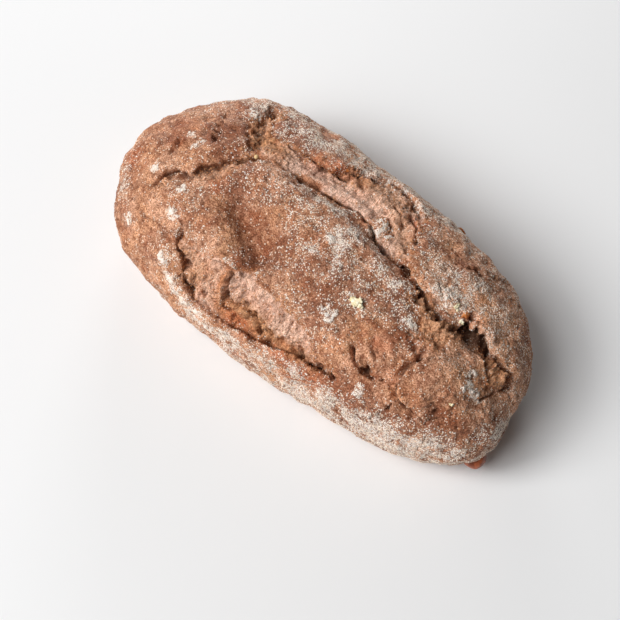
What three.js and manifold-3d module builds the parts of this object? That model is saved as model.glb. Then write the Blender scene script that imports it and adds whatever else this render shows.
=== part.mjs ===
// A rustic wholegrain roll of the ciabatta kind: one long loaf of a single solid, torn open along its
// crown and along one flank as it rose, and a bit of walnut that sticks out at the foot of one end.
// Millimetres, +Z up. The origin is the middle of the flat base, and +X runs along the loaf.
import * as THREE from "three";
import { mergeVertices } from "three/addons/utils/BufferGeometryUtils.js";
import Module from "manifold-3d";

const wasm = await Module();
wasm.setup();
const { clamp, smoothstep } = THREE.MathUtils;

// ---- Driving dimensions of the loaf ----
const LENGTH = 162.2;
const WIDTH = 81.8;
const HEIGHT = 48;
// The loaf is widest at this level, and tucks in below it to a smaller base.
const BELLY_HEIGHT = 16.3;
const FOOT_SHARE = 0.8;
// Powers of the outline and of the dome: 1 would be a plain ellipse, and less is squarer.
const OUTLINE_POWER = 0.88;
const DOME_REACH_POWER = 0.88;
const DOME_HEIGHT_POWER = 0.85;
// How much the hand-shaped outline swells or shrinks, every 22.5 degrees from +X round by +Y.
const SWELL = [1, 1, 1.01, 0.99, 1.01, 1.09, 1.03, 0.96, 0.97, 0.96, 1.01, 1, 0.98, 0.98, 1.06, 1.08];
// The crust's slow hand-made unevenness: height of its waves, and their lengths along and across.
const WAVE_HEIGHT = 0.55;
const WAVE_ALONG = 31;
const WAVE_ACROSS = 23;
const WAVE_SLANT = 0.4; // how far the long waves lean across the loaf
const WAVE_COUNTER_SLANT = 0.3; // how far the cross waves lean the other way

// ---- Mesh fineness ----
const ROWS_ALONG = 76;
const ROWS_ACROSS = 54;
// The rows across crowd together at the two tears: where, how wide, and how many times denser.
const CROWDS = [
  { at: 0.1, width: 0.14, gain: 1.6 },
  { at: -0.52, width: 0.16, gain: 1.6 },
];
const BELLY_SHARE = 0.76; // share of each row, crown to foot, that lies above the belly
const ROUTE_STEPS = 48;
const OUTLINE_STEPS = 720;
const NORMAL_STEP = 1e-3; // share of the grid over which the surface's direction is measured

// ---- Tears, creases and lobes of the crust: plan points, depth and half width ----
const CROWN_TEAR = {
  plan: [[-26, 7], [-12, 8.3], [4, 8.7], [14, 6.5], [25, 4.5], [36, 1.8], [48, 1.5], [58, 1], [65, 1]],
  depth: 3.6,
  reach: 2,
};
// Torn crumb that shows beyond the crown tear, up to the lifted edge of the far crust.
const CROWN_CRUMB = { width: 13, depth: 2.8, from: -29, to: 31, fade: 8 };
const HEAD_CREASE = {
  plan: [[-57, -18], [-50, -11.5], [-44, -5], [-40, 1.2], [-33, 6], [-26, 7]],
  depth: 2.4,
  reach: 2,
};
const HEAD_NOTCH = { plan: [[-38, 10], [-40.5, 15], [-42, 21], [-44.5, 29]], depth: 2.2, reach: 2.4 };
const TAIL_CREASE = {
  plan: [[64, 1.2], [71.5, 2.4], [75.4, 0], [75, -5], [72.5, -10.5], [69, -15.5]],
  depth: 1.5,
  reach: 2,
};
const FLANK_TEAR = {
  plan: [[-36, -31], [-32, -35], [-26, -38], [-12, -39], [4, -38.6], [18, -36], [33, -34.3]],
  depth: 3.4,
  reach: 2.1,
};
// Stretched crumb above the flank tear, up to the edge of the cap.
const FLANK_CRUMB = { width: 15, depth: 2.4, from: -38, to: 26, fade: 10 };
const LOBE_CREASE = {
  plan: [[33, -25], [38, -27], [43, -28.5], [48, -27], [49.3, -23], [51.5, -19]],
  depth: 1.3,
  reach: 2,
};
const LOBE_EDGE = { plan: [[64, -3], [67, -4], [69.5, -6], [71.5, -9.5]], depth: 1.4, reach: 2 };
const CAP_VALLEY = { plan: [[-29, -10], [-21, -14], [-14, -18], [-6, -23]], depth: 2.4, reach: 6 };
const FAR_FOLD = { plan: [[-20, 36], [0, 37.5], [22, 34.5], [40, 30]], depth: 0.9, reach: 2.6 };
const CREASES = [
  CROWN_TEAR,
  HEAD_CREASE,
  HEAD_NOTCH,
  TAIL_CREASE,
  FLANK_TEAR,
  LOBE_CREASE,
  LOBE_EDGE,
  CAP_VALLEY,
  FAR_FOLD,
];
const BLUNT_END = 0.03; // a crease keeps the depth it has this share of its length from its end
// Torn crumb drops away from the tear's lip over LIP_WIDTH, and rises to the crust beyond FLOOR_SHARE.
const LIP_WIDTH = 2;
const FLOOR_SHARE = 0.7;
// The crust rises a little beside each crease: by this share of its depth, this many reaches away.
const RIM_SHARE = 0.18;
const RIM_PLACE = 2.4;
// The hollow where the crown tear gapes, and the round lobe beside it.
const CAVITY = { x: 59.5, y: 1.2, along: 5.5, across: 2.6, depth: 4.5 };
const LOBE = { x: 59, y: -16, along: 13, across: 10, depth: -1.6 };
const HEAD_SWELL = { x: -52, y: 12, along: 14, across: 10, depth: -0.9 };
const BUMPS = [CAVITY, LOBE, HEAD_SWELL];

// ---- The walnut bit ----
const NUT = { x: 77, y: -18.4, z: 8.2, along: 3.9, across: 4.1, up: 3.2 };
// Its knobbles: how high they stand, how close together each way, and where they start.
const KNOBBLES = { height: 0.32, along: 3.1, across: 3.7, up: 2, shift: 1 };
const NUT_DETAIL = 3;
const GAP = 0.3; // clearance between the bit and the pocket it sits in

const signedPower = (value, power) => Math.sign(value) * Math.abs(value) ** power;

// The swell factor at a plan angle: a smooth closed curve through the values of SWELL.
function swellAt(angle) {
  const count = SWELL.length;
  const place = ((angle / (2 * Math.PI)) * count + count) % count;
  const i = Math.floor(place);
  const t = place - i;
  const [a, b, c, d] = [-1, 0, 1, 2].map((step) => SWELL[(i + step + count) % count]);
  return b + 0.5 * t * (c - a + t * (2 * a - 5 * b + 4 * c - d + t * (3 * (b - c) + d - a)));
}

// The widest outline at a plan angle, before it is centred.
function rawOutline(angle) {
  const swell = swellAt(angle);
  return new THREE.Vector2(
    (LENGTH / 2) * swell * signedPower(Math.cos(angle), OUTLINE_POWER),
    (WIDTH / 2) * swell * signedPower(Math.sin(angle), OUTLINE_POWER),
  );
}

// The middle of the outline's box, so that the finished loaf is centred on the origin.
function outlineMiddle() {
  const box = new THREE.Box2();
  for (let i = 0; i < OUTLINE_STEPS; i++) box.expandByPoint(rawOutline((i / OUTLINE_STEPS) * 2 * Math.PI));
  return box.getCenter(new THREE.Vector2());
}
const MIDDLE = outlineMiddle();

// Reach (a share of the outline) and height of the loaf's section, by share from crown to foot.
function section(share) {
  const above = share <= BELLY_SHARE;
  const turn = (above ? share / BELLY_SHARE : (share - BELLY_SHARE) / (1 - BELLY_SHARE)) * (Math.PI / 2);
  if (above) {
    return {
      reach: Math.sin(turn) ** DOME_REACH_POWER,
      height: BELLY_HEIGHT + (HEIGHT - BELLY_HEIGHT) * Math.max(0, Math.cos(turn)) ** DOME_HEIGHT_POWER,
    };
  }
  return {
    reach: 1 - (1 - FOOT_SHARE) * (1 - Math.cos(turn)),
    height: BELLY_HEIGHT * (1 - Math.sin(turn)),
  };
}

// A point of the plain loaf: share runs from crown (0) to foot (1), angle goes round the plan.
function plainPoint(share, angle) {
  const { reach, height } = section(share);
  const rim = rawOutline(angle);
  return new THREE.Vector3(reach * rim.x - MIDDLE.x, reach * rim.y - MIDDLE.y, height);
}

// The point of the plain dome straight above a plan position.
function domePoint(x, y) {
  const across = signedPower((y + MIDDLE.y) / (WIDTH / 2), 1 / OUTLINE_POWER);
  const along = signedPower((x + MIDDLE.x) / (LENGTH / 2), 1 / OUTLINE_POWER);
  const rim = rawOutline(Math.atan2(across, along));
  const reach = clamp(Math.hypot(x + MIDDLE.x, y + MIDDLE.y) / rim.length(), 0, 1);
  const sine = reach ** (1 / DOME_REACH_POWER);
  const cosine = Math.sqrt(Math.max(0, 1 - sine * sine));
  return new THREE.Vector3(x, y, BELLY_HEIGHT + (HEIGHT - BELLY_HEIGHT) * cosine ** DOME_HEIGHT_POWER);
}

// A crease's path over the dome, as evenly spaced points.
function route(plan) {
  return new THREE.CatmullRomCurve3(plan.map(([x, y]) => domePoint(x, y))).getSpacedPoints(ROUTE_STEPS);
}
for (const crease of CREASES) crease.path = route(crease.plan);

// How far a point lies from a path, how far along it, and on which side seen from outside.
function beside(path, point, normal) {
  let best = { distance: Infinity };
  path.forEach((at, i) => {
    const distance = at.distanceTo(point);
    if (distance < best.distance) best = { distance, i };
  });
  const ahead = path[Math.min(best.i + 1, path.length - 1)].clone().sub(path[Math.max(best.i - 1, 0)]);
  const side = ahead.cross(point.clone().sub(path[best.i])).dot(normal);
  return { distance: best.distance, share: best.i / (path.length - 1), side };
}

// A rounded groove along a path, with a slightly raised rim, shallower towards both ends.
function grooveDepth(crease, point, normal) {
  const { distance, share } = beside(crease.path, point, normal);
  const taper = Math.sqrt(Math.sin(Math.PI * clamp(share, BLUNT_END, 1 - BLUNT_END)));
  const hollow = Math.exp(-((distance / crease.reach) ** 2));
  const rim = RIM_SHARE * Math.exp(-((distance / crease.reach - RIM_PLACE) ** 2));
  return crease.depth * taper * (hollow - rim);
}

// Sunken crumb on the left-hand side of a tear, which rises again to the crust at its far edge.
function crumbDepth(crumb, tear, point, normal) {
  const { distance, side } = beside(tear.path, point, normal);
  if (side < 0) return 0;
  const start = smoothstep(point.x, crumb.from, crumb.from + crumb.fade);
  const end = 1 - smoothstep(point.x, crumb.to - crumb.fade, crumb.to);
  const drop = smoothstep(distance, 0, LIP_WIDTH);
  const rise = smoothstep(distance, FLOOR_SHARE * crumb.width, crumb.width);
  return crumb.depth * start * end * drop * (1 - rise);
}

// A soft round hollow, or a swelling where its depth is negative.
function bumpDepth(bump, point) {
  const along = (point.x - bump.x) / bump.along;
  const across = (point.y - bump.y) / bump.across;
  return point.z > BELLY_HEIGHT ? bump.depth * Math.exp(-(along ** 2) - across ** 2) : 0;
}

// The slow waves of a hand-shaped crust.
function waveDepth(point) {
  const long = Math.sin((2 * Math.PI * (point.x + WAVE_SLANT * point.y)) / WAVE_ALONG);
  const girth = point.y + point.z - WAVE_COUNTER_SLANT * point.x;
  const cross = Math.cos((2 * Math.PI * girth) / WAVE_ACROSS);
  return WAVE_HEIGHT * long * cross;
}

// How far the crust lies below the plain loaf at a point. It fades out towards the base.
function crustDepth(point, normal) {
  let depth = waveDepth(point);
  for (const crease of CREASES) depth += grooveDepth(crease, point, normal);
  depth += crumbDepth(CROWN_CRUMB, CROWN_TEAR, point, normal);
  depth += crumbDepth(FLANK_CRUMB, FLANK_TEAR, point, normal);
  for (const bump of BUMPS) depth += bumpDepth(bump, point);
  return depth * smoothstep(point.z, 0, BELLY_HEIGHT);
}

// A square grid position, each way from -1 to 1, as share from crown to foot and plan angle.
function gridPlace(across, along) {
  const x = along * Math.sqrt(1 - (across * across) / 2);
  const y = across * Math.sqrt(1 - (along * along) / 2);
  return { share: Math.min(1, Math.hypot(x, y)), angle: Math.atan2(y, x) };
}

// A point of the finished crust, moved along the plain loaf's own normal.
function crustPoint(across, along) {
  const { share, angle } = gridPlace(across, along);
  const point = plainPoint(share, angle);
  const ahead = gridPlace(across, along - Math.sign(along || 1) * NORMAL_STEP);
  const aside = gridPlace(across - Math.sign(across || 1) * NORMAL_STEP, along);
  const toAhead = plainPoint(ahead.share, ahead.angle).sub(point);
  const toAside = plainPoint(aside.share, aside.angle).sub(point);
  const normal = toAhead.cross(toAside).multiplyScalar(Math.sign(along || 1) * Math.sign(across || 1));
  normal.normalize();
  if (share < 1) point.addScaledVector(normal, -crustDepth(point, normal));
  return point;
}

// How densely the rows across lie at a place from -1 to 1.
function rowDensity(place) {
  let density = 1;
  for (const { at, width, gain } of CROWDS) density += gain * Math.exp(-(((place - at) / width) ** 2));
  return density;
}

// Where the rows across lie, from -1 to 1, closer together at the tears.
function rowPlaces() {
  const sums = [0];
  for (let i = 0; i < OUTLINE_STEPS; i++) sums.push(sums[i] + rowDensity((2 * i) / OUTLINE_STEPS - 1));
  const places = [];
  for (let row = 0, i = 0; row <= ROWS_ACROSS; row++) {
    const wanted = (row / ROWS_ACROSS) * sums[OUTLINE_STEPS];
    while (i < OUTLINE_STEPS - 1 && sums[i + 1] < wanted) i++;
    places.push((2 * (i + (wanted - sums[i]) / (sums[i + 1] - sums[i]))) / OUTLINE_STEPS - 1);
  }
  return places;
}

// The loaf: a grid over crown and flanks down to the foot, closed by a flat base.
function rollGeometry() {
  const positions = [];
  const index = [];
  const at = (i, j) => i * (ROWS_ALONG + 1) + j;
  const rows = rowPlaces();
  for (let i = 0; i <= ROWS_ACROSS; i++) {
    for (let j = 0; j <= ROWS_ALONG; j++) {
      const point = crustPoint(rows[i], (2 * j) / ROWS_ALONG - 1);
      positions.push(point.x, point.y, point.z);
      if (i < ROWS_ACROSS && j < ROWS_ALONG) {
        index.push(at(i, j), at(i, j + 1), at(i + 1, j + 1), at(i, j), at(i + 1, j + 1), at(i + 1, j));
      }
    }
  }
  const foot = [];
  for (let j = 0; j < ROWS_ALONG; j++) foot.push(at(0, j));
  for (let i = 0; i < ROWS_ACROSS; i++) foot.push(at(i, ROWS_ALONG));
  for (let j = ROWS_ALONG; j > 0; j--) foot.push(at(ROWS_ACROSS, j));
  for (let i = ROWS_ACROSS; i > 0; i--) foot.push(at(i, 0));
  const centre = positions.length / 3;
  positions.push(0, 0, 0);
  foot.forEach((corner, i) => index.push(centre, foot[(i + 1) % foot.length], corner));
  const geometry = new THREE.BufferGeometry();
  geometry.setAttribute("position", new THREE.Float32BufferAttribute(positions, 3));
  geometry.setIndex(index);
  return geometry;
}

// How far the walnut bit's surface stands out or in, at a point of a ball of radius 1.
function knobbleAt({ x, y, z }) {
  const alongWave = Math.sin(KNOBBLES.along * x + KNOBBLES.shift);
  return KNOBBLES.height * alongWave * Math.cos(KNOBBLES.across * y - KNOBBLES.up * z);
}

// The walnut bit: a knobbly ovoid. Extra grows it all round, which makes the tool for its pocket.
function nutGeometry(extra) {
  const ball = new THREE.IcosahedronGeometry(1, NUT_DETAIL);
  ball.deleteAttribute("normal");
  ball.deleteAttribute("uv");
  const geometry = mergeVertices(ball);
  const points = geometry.attributes.position;
  const point = new THREE.Vector3();
  for (let i = 0; i < points.count; i++) {
    point.fromBufferAttribute(points, i);
    const grown = knobbleAt(point) + extra;
    points.setXYZ(
      i,
      NUT.x + point.x * (NUT.along + grown),
      NUT.y + point.y * (NUT.across + grown),
      NUT.z + point.z * (NUT.up + grown),
    );
  }
  return geometry;
}

// A closed mesh as a solid for cutting.
function toSolid(geometry) {
  return new wasm.Manifold(
    new wasm.Mesh({
      numProp: 3,
      vertProperties: new Float32Array(geometry.attributes.position.array),
      triVerts: new Uint32Array(geometry.index.array),
    }),
  );
}

// A cut solid as a mesh again.
function toGeometry(solid) {
  const cut = solid.getMesh();
  const geometry = new THREE.BufferGeometry();
  geometry.setAttribute("position", new THREE.BufferAttribute(new Float32Array(cut.vertProperties), 3));
  geometry.setIndex(new THREE.BufferAttribute(new Uint32Array(cut.triVerts), 1));
  return geometry;
}

// The brown, floured loaf with the pocket that holds the walnut bit.
function makeRoll() {
  const pocketed = toSolid(rollGeometry()).subtract(toSolid(nutGeometry(GAP)));
  const geometry = toGeometry(pocketed);
  geometry.computeVertexNormals();
  const crust = new THREE.MeshStandardMaterial({ color: 0xb07a5c, roughness: 0.9, metalness: 0 });
  const roll = new THREE.Mesh(geometry, crust);
  roll.name = "roll";
  return roll;
}

// The bit of walnut, glossy and orange-brown where it baked.
function makeNut() {
  const geometry = nutGeometry(0);
  geometry.computeVertexNormals();
  const nutmeat = new THREE.MeshStandardMaterial({ color: 0xa6552b, roughness: 0.45, metalness: 0 });
  const nut = new THREE.Mesh(geometry, nutmeat);
  nut.name = "nut_piece";
  return nut;
}

const bread = new THREE.Group();
bread.add(makeRoll(), makeNut());

export default bread;
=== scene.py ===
# %% [markdown]
# # A torn, floured bread roll
#
# The real thing is one long hand-shaped roll of dark wholegrain dough with walnut in it. It was dusted with
# coarse flour, and it burst open while it baked: once along its crown and once along the near flank.
#
# What makes it look like bread is relief, not paint. So the crust is one fine mesh. It starts from the smooth
# CAD loaf, and every tear, crease, pore and lump is a small function that moves its vertices. The colours are
# worked out from the same functions, so that flour, crumb and dark cracks always lie where the shape says.
#
# The CAD loaf is the frame: its box gives the large sizes, and every place is found on its skin.

# %% Load the frame and measure the loaf
import math

import bmesh
import bpy
import numpy as np
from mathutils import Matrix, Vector
from mathutils.bvhtree import BVHTree


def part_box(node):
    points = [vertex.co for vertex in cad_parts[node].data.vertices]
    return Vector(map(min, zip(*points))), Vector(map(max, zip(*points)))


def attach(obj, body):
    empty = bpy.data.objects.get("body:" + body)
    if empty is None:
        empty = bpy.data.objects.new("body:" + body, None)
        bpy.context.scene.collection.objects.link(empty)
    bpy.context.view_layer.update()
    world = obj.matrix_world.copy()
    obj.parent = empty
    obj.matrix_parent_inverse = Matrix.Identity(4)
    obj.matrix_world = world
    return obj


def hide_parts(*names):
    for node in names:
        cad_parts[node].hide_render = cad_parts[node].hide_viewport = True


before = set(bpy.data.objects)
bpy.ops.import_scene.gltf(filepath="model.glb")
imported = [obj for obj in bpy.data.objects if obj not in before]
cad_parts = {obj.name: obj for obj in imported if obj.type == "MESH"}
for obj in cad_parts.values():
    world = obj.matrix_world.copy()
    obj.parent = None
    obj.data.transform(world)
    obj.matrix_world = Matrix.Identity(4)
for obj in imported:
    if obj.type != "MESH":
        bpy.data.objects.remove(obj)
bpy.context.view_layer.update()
mm = 0.001
low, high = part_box("roll")
half_length = (high.x - low.x) / 2
half_width = (high.y - low.y) / 2
height = high.z
print(f"loaf {2 * half_length / mm:.1f} x {2 * half_width / mm:.1f} x {height / mm:.1f} mm")

# %% [markdown]
# ## Where we look from
#
# The camera looks down steeply, as on bread laid on a table, from the side of the near tear. A long lens
# keeps the far end as large as the near one. Distances are counted in half lengths of the loaf, so the view
# would still fit if the loaf grew.

# %% Camera
def add_object(name, data):
    """A new object in the scene."""
    thing = bpy.data.objects.new(name, data)
    bpy.context.scene.collection.objects.link(thing)
    return thing


view_round = math.radians(39.4)
view_up = math.radians(62)
view_distance = 7.0 * half_length
aim = Vector((0.06 * half_length, -0.32 * half_width, 0.305 * height))
back = Vector((
    math.sin(view_round) * math.cos(view_up),
    -math.cos(view_round) * math.cos(view_up),
    math.sin(view_up),
))
camera = add_object("camera", bpy.data.cameras.new("camera"))
camera.data.lens = 100
camera.data.sensor_width = 36
camera.data.clip_start = 0.01
camera.location = aim + back * view_distance
camera.rotation_euler = back.to_track_quat("Z", "Y").to_euler()
bpy.context.scene.camera = camera
print("camera at", [round(x, 3) for x in camera.location])

# %% [markdown]
# ## A short way to build node trees
#
# Every material here is a tree of nodes: noise and cells measured in millimetres on the object itself. This
# small helper adds a node, sets its sockets and wires it in one line. Colours are given as a screen would
# show them, from 0 to 255, and turned into light.

# %% Node helper
FLOAT, COLOUR, VECTOR = "NodeSocketFloat", "NodeSocketColor", "NodeSocketVector"


def srgb(red, green, blue):
    """A colour in light, from the 0 to 255 that a screen would show."""
    return [((c / 255 + 0.055) / 1.055) ** 2.4 for c in (red, green, blue)] + [1.0]


class Graph:
    """A node tree, with short ways to add nodes and wire them."""

    def __init__(self, tree):
        self.tree = tree

    def set(self, socket, value):
        """Wires a node's output to a socket, or writes a plain value into it."""
        if isinstance(value, bpy.types.NodeSocket):
            self.tree.links.new(value, socket)
        else:
            socket.default_value = value

    def add(self, kind, inputs=None, **settings):
        """A new node with its settings and inputs."""
        node = self.tree.nodes.new(kind)
        for name, value in settings.items():
            setattr(node, name, value)
        for name, value in (inputs or {}).items():
            self.set(node.inputs[name], value)
        return node

    def math(self, operation, a, b=0.0, clamp=False):
        return self.add("ShaderNodeMath", {0: a, 1: b}, operation=operation, use_clamp=clamp).outputs[0]

    def plus(self, a, b, clamp=False):
        return self.math("ADD", a, b, clamp)

    def minus(self, a, b):
        return self.math("SUBTRACT", a, b)

    def times(self, a, b, clamp=False):
        return self.math("MULTIPLY", a, b, clamp)

    def blend(self, share, a, b, kind="MIX"):
        # Sockets 6 and 7 of a Mix node are its two colours.
        return self.add("ShaderNodeMix", {0: share, 6: a, 7: b}, data_type="RGBA", blend_type=kind).outputs[2]

    def remap(self, value, low, high, to_low=0.0, to_high=1.0):
        """A soft rise from one value to another while the input goes from low to high."""
        inputs = {"Value": value, "From Min": low, "From Max": high, "To Min": to_low, "To Max": to_high}
        return self.add("ShaderNodeMapRange", inputs, interpolation_type="SMOOTHSTEP").outputs["Result"]

    def noise(self, where, wavelength, detail=2.0):
        """Smooth noise from 0 to 1, with lumps about one wavelength wide."""
        inputs = {"Vector": where, "Scale": 1 / wavelength, "Detail": detail}
        return self.add("ShaderNodeTexNoise", inputs).outputs["Fac"]

    def attribute(self, name):
        """A mask that the mesh carries."""
        return self.add("ShaderNodeAttribute", attribute_name=name).outputs["Fac"]

    def parts(self, colour):
        """The red, green and blue of a colour."""
        return self.add("ShaderNodeSeparateColor", {"Color": colour}).outputs


print("node helper ready")

# %% New groups and materials
def new_group(name, inputs, outputs):
    """A shader node group with named sockets: a Graph to fill it, its inputs and its outputs."""
    tree = bpy.data.node_groups.new(name, "ShaderNodeTree")
    for label, kind, value in inputs:
        socket = tree.interface.new_socket(label, in_out="INPUT", socket_type=kind)
        if value is not None:
            socket.default_value = value
    for label, kind in outputs:
        tree.interface.new_socket(label, in_out="OUTPUT", socket_type=kind)
    return Graph(tree), tree.nodes.new("NodeGroupInput").outputs, tree.nodes.new("NodeGroupOutput").inputs


def new_material(name, roughness, specular):
    """A material, a Graph to fill it, its Principled shader and the place on the object."""
    material = bpy.data.materials.new(name)
    material.use_nodes = True
    graph = Graph(material.node_tree)
    shader = material.node_tree.nodes["Principled BSDF"]
    shader.inputs["Roughness"].default_value = roughness
    shader.inputs["Specular IOR Level"].default_value = specular
    return material, graph, shader, graph.add("ShaderNodeTexCoord").outputs["Object"]


print("groups and materials can be made")

# %% [markdown]
# ## Table and light
#
# A plain near-white table. A wide soft lamp and a smaller harder one stand together on the left, a little
# nearer than the loaf, so the shadow falls to the right with a soft rim. A low lamp behind the loaf only
# grazes the table and keeps the shadow open. Almost nothing comes from the world, because light from all
# round would darken the table along the loaf's bright side. The view transform stays "Standard", which
# keeps the colours of the crust as they are set.

# %% Table
table_material, graph, shader, where = new_material("white_table", 0.6, 0.2)
cloudy = graph.noise(where, 0.3, 2.0)
cool_white = (0.84, 0.84, 0.845, 1)
plain_white = (0.86, 0.86, 0.86, 1)
graph.set(shader.inputs["Base Color"], graph.blend(cloudy, cool_white, plain_white))
reach = 40 * half_length
floor_mesh = bpy.data.meshes.new("floor")
corners = [(-reach, -reach, 0), (reach, -reach, 0), (reach, reach, 0), (-reach, reach, 0)]
floor_mesh.from_pydata(corners, [], [(0, 1, 2, 3)])
floor_mesh.materials.append(table_material)
floor = add_object("floor", floor_mesh)
print("table side", round(2 * reach, 2), "m")

# %% Lamps
right = Vector((math.cos(view_round), math.sin(view_round), 0))
ahead = Vector((-math.sin(view_round), math.cos(view_round), 0))
up = Vector((0, 0, 1))


def soft_lamp(name, towards, distance, size, power):
    """A square area lamp in a direction from the loaf, facing it."""
    data = bpy.data.lights.new(name, "AREA")
    data.shape = "SQUARE"
    data.size = size
    data.energy = power
    lamp = add_object(name, data)
    direction = Vector(towards).normalized()
    lamp.location = direction * distance
    lamp.rotation_euler = direction.to_track_quat("Z", "Y").to_euler()
    return lamp


wide_key = soft_lamp("wide_key", -0.59 * right - 0.26 * ahead + 0.77 * up, 1.8, 1.4, 30)
small_key = soft_lamp("small_key", -0.73 * right - 0.155 * ahead + 0.67 * up, 1.35, 0.5, 7.0)
low_back = soft_lamp("low_back", ahead + 0.18 * up, 0.5, 0.16, 1.2)
world = bpy.data.worlds.new("studio")
world.use_nodes = True
world.node_tree.nodes["Background"].inputs["Color"].default_value = (1, 1, 1, 1)
world.node_tree.nodes["Background"].inputs["Strength"].default_value = 0.07
bpy.context.scene.world = world
bpy.context.scene.view_settings.view_transform = "Standard"
for lamp in (wide_key, small_key, low_back):
    print(lamp.name, "at", [round(x, 2) for x in lamp.location], "m,", round(lamp.data.energy, 1), "W")

# %% [markdown]
# ## The dough before it tears
#
# The CAD loaf has facets two to three millimetres wide. Paired into quads and subdivided three times, it
# becomes a smooth skin of quads about a third of a millimetre wide, fine enough to carve pores into. Voxel
# remeshing would also do, but it would soften the creases that the CAD already has.

# %% Subdivide the loaf
def with_modifiers(thing):
    """A new mesh of a thing as its modifiers leave it."""
    bpy.context.view_layer.update()
    return bpy.data.meshes.new_from_object(thing.evaluated_get(bpy.context.evaluated_depsgraph_get()))


def smooth_copy(node, name, levels):
    """A CAD node as a fine smooth mesh of its own."""
    shape = bmesh.new()
    shape.from_mesh(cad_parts[node].data)
    bmesh.ops.remove_doubles(shape, verts=shape.verts, dist=1e-6)
    flat_enough = math.radians(50)
    bmesh.ops.join_triangles(
        shape, faces=shape.faces, angle_face_threshold=flat_enough, angle_shape_threshold=flat_enough
    )
    mesh = bpy.data.meshes.new(name)
    shape.to_mesh(mesh)
    shape.free()
    thing = add_object(name, mesh)
    rounding = thing.modifiers.new("rounding", "SUBSURF")
    rounding.levels = levels
    rounding.render_levels = levels
    rounding.use_limit_surface = False
    smooth = with_modifiers(thing)
    thing.modifiers.clear()
    thing.data = smooth
    return thing


def vectors(items, name, count):
    """A vector of each vertex of a mesh, such as its place, as rows of an array."""
    found = np.empty(count * 3)
    items.foreach_get(name, found)
    return found.reshape(-1, 3)


crust = smooth_copy("roll", "crust", 3)
count = len(crust.data.vertices)
skin = vectors(crust.data.vertices, "co", count)
outward = vectors(crust.data.vertex_normals, "vector", count)
print(count, "vertices in the smooth dough")

# %% [markdown]
# ## Finding places on a loaf
#
# A place on the crust is given like one on a globe: how far along (in hundredths of the half length, from
# the middle) and how many degrees round from the crown (positive to the far side). A ray from the loaf's
# inner axis finds the point. Lines and areas can then be named without knowing the exact height.

# %% Places, lines and areas
axis_height = 0.2 * height
girth = 0.75 * height  # a typical distance from the inner axis to the crust
skin_tree = BVHTree.FromPolygons(skin.tolist(), [tuple(p.vertices) for p in crust.data.polygons])


def spot(along, around):
    """The point of the crust at a place."""
    turn = math.radians(around)
    start = Vector((along / 100 * half_length, 0, axis_height))
    return skin_tree.ray_cast(start, Vector((0, math.sin(turn), math.cos(turn))))[0]


def line_over(places, step=0.5 * mm):
    """Evenly spaced points of the crust on a smooth (Catmull-Rom) curve through places."""
    keys = np.array([places[0], *places, places[-1]], float)
    curve = []
    for a, b, c, d in zip(keys, keys[1:], keys[2:], keys[3:]):
        for t in np.linspace(0, 1, 12, endpoint=False):
            curve.append(b + 0.5 * t * (c - a + t * (2 * a - 5 * b + 4 * c - d + t * (3 * (b - c) + d - a))))
    lifted = np.array([spot(*place) for place in [*curve, keys[-1]]])
    gaps = np.linalg.norm(np.diff(lifted, axis=0), axis=1)
    travelled = np.concatenate([[0], np.cumsum(gaps)])
    wanted = np.linspace(0, travelled[-1], max(3, round(travelled[-1] / step)))
    return np.stack([np.interp(wanted, travelled, lifted[:, i]) for i in range(3)], 1)


def unrolled(points):
    """The crust laid flat: distance along and distance round, in metres."""
    return np.stack([points[:, 0], np.arctan2(points[:, 1], points[:, 2] - axis_height) * girth], 1)


def flat_places(places):
    """Places as points of the crust laid flat."""
    return np.array([(along / 100 * half_length, math.radians(around) * girth) for along, around in places])


def smoothstep(low, high, value):
    """0 at the low value, 1 at the high one, and a soft rise between them."""
    t = np.clip((value - low) / (high - low), 0, 1)
    return t * t * (3 - 2 * t)


print("crown at", [round(x / mm, 1) for x in spot(0, 0)], "mm")

# %% [markdown]
# ## Unevenness
#
# Nothing on bread is straight. Slow swellings, small lumps and the wandering of cracks are all the same
# smooth noise: only the wavelength and the amount differ. Pores and flakes are cells round scattered seeds.
# Both are written out here in numpy, because it answers for every vertex at once.

# %% Noise
AXIS_FACTORS = (73856093, 19349663, 83492791)  # large and odd, so that neighbouring cells differ widely


def scatter(cell, seed):
    """A number from 0 to 1 for each whole-number cell, always the same for the same seed."""
    x, y, z = (cell[..., axis] * AXIS_FACTORS[axis] for axis in range(3))
    mixed = x ^ y ^ z ^ (seed + 1) * 40503
    mixed = (mixed ^ mixed >> 15) * 739982445 & 0xFFFFFFFF
    mixed = (mixed ^ mixed >> 12) * 695872825 & 0xFFFFFFFF
    return (mixed ^ mixed >> 15 & 0xFFFFFF).astype(float) % 65536 / 65536


def lumps(points, wavelength, octaves=1, seed=0):
    """Smooth noise, about -1 to 1, with lumps of one wavelength and finer ones on them."""
    total = np.zeros(len(points))
    for octave in range(octaves):
        place = points / wavelength * 2**octave + 5.3 * seed
        cell = np.floor(place).astype(np.int64)
        part = place - cell
        ease = part**3 * (part * (part * 6 - 15) + 10)
        for corner in np.array(list(np.ndindex(2, 2, 2))):
            pull = np.stack([scatter(cell + corner, 9 * seed + 3 * octave + i) for i in range(3)], 1) * 2 - 1
            share = np.where(corner, ease, 1 - ease).prod(1)
            total += share * (pull * (part - corner)).sum(1) * 1.7 / 2**octave
    return total


print("noise at the crown", round(float(lumps(np.array([spot(0, 0)]), 5 * mm)[0]), 2))

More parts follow.
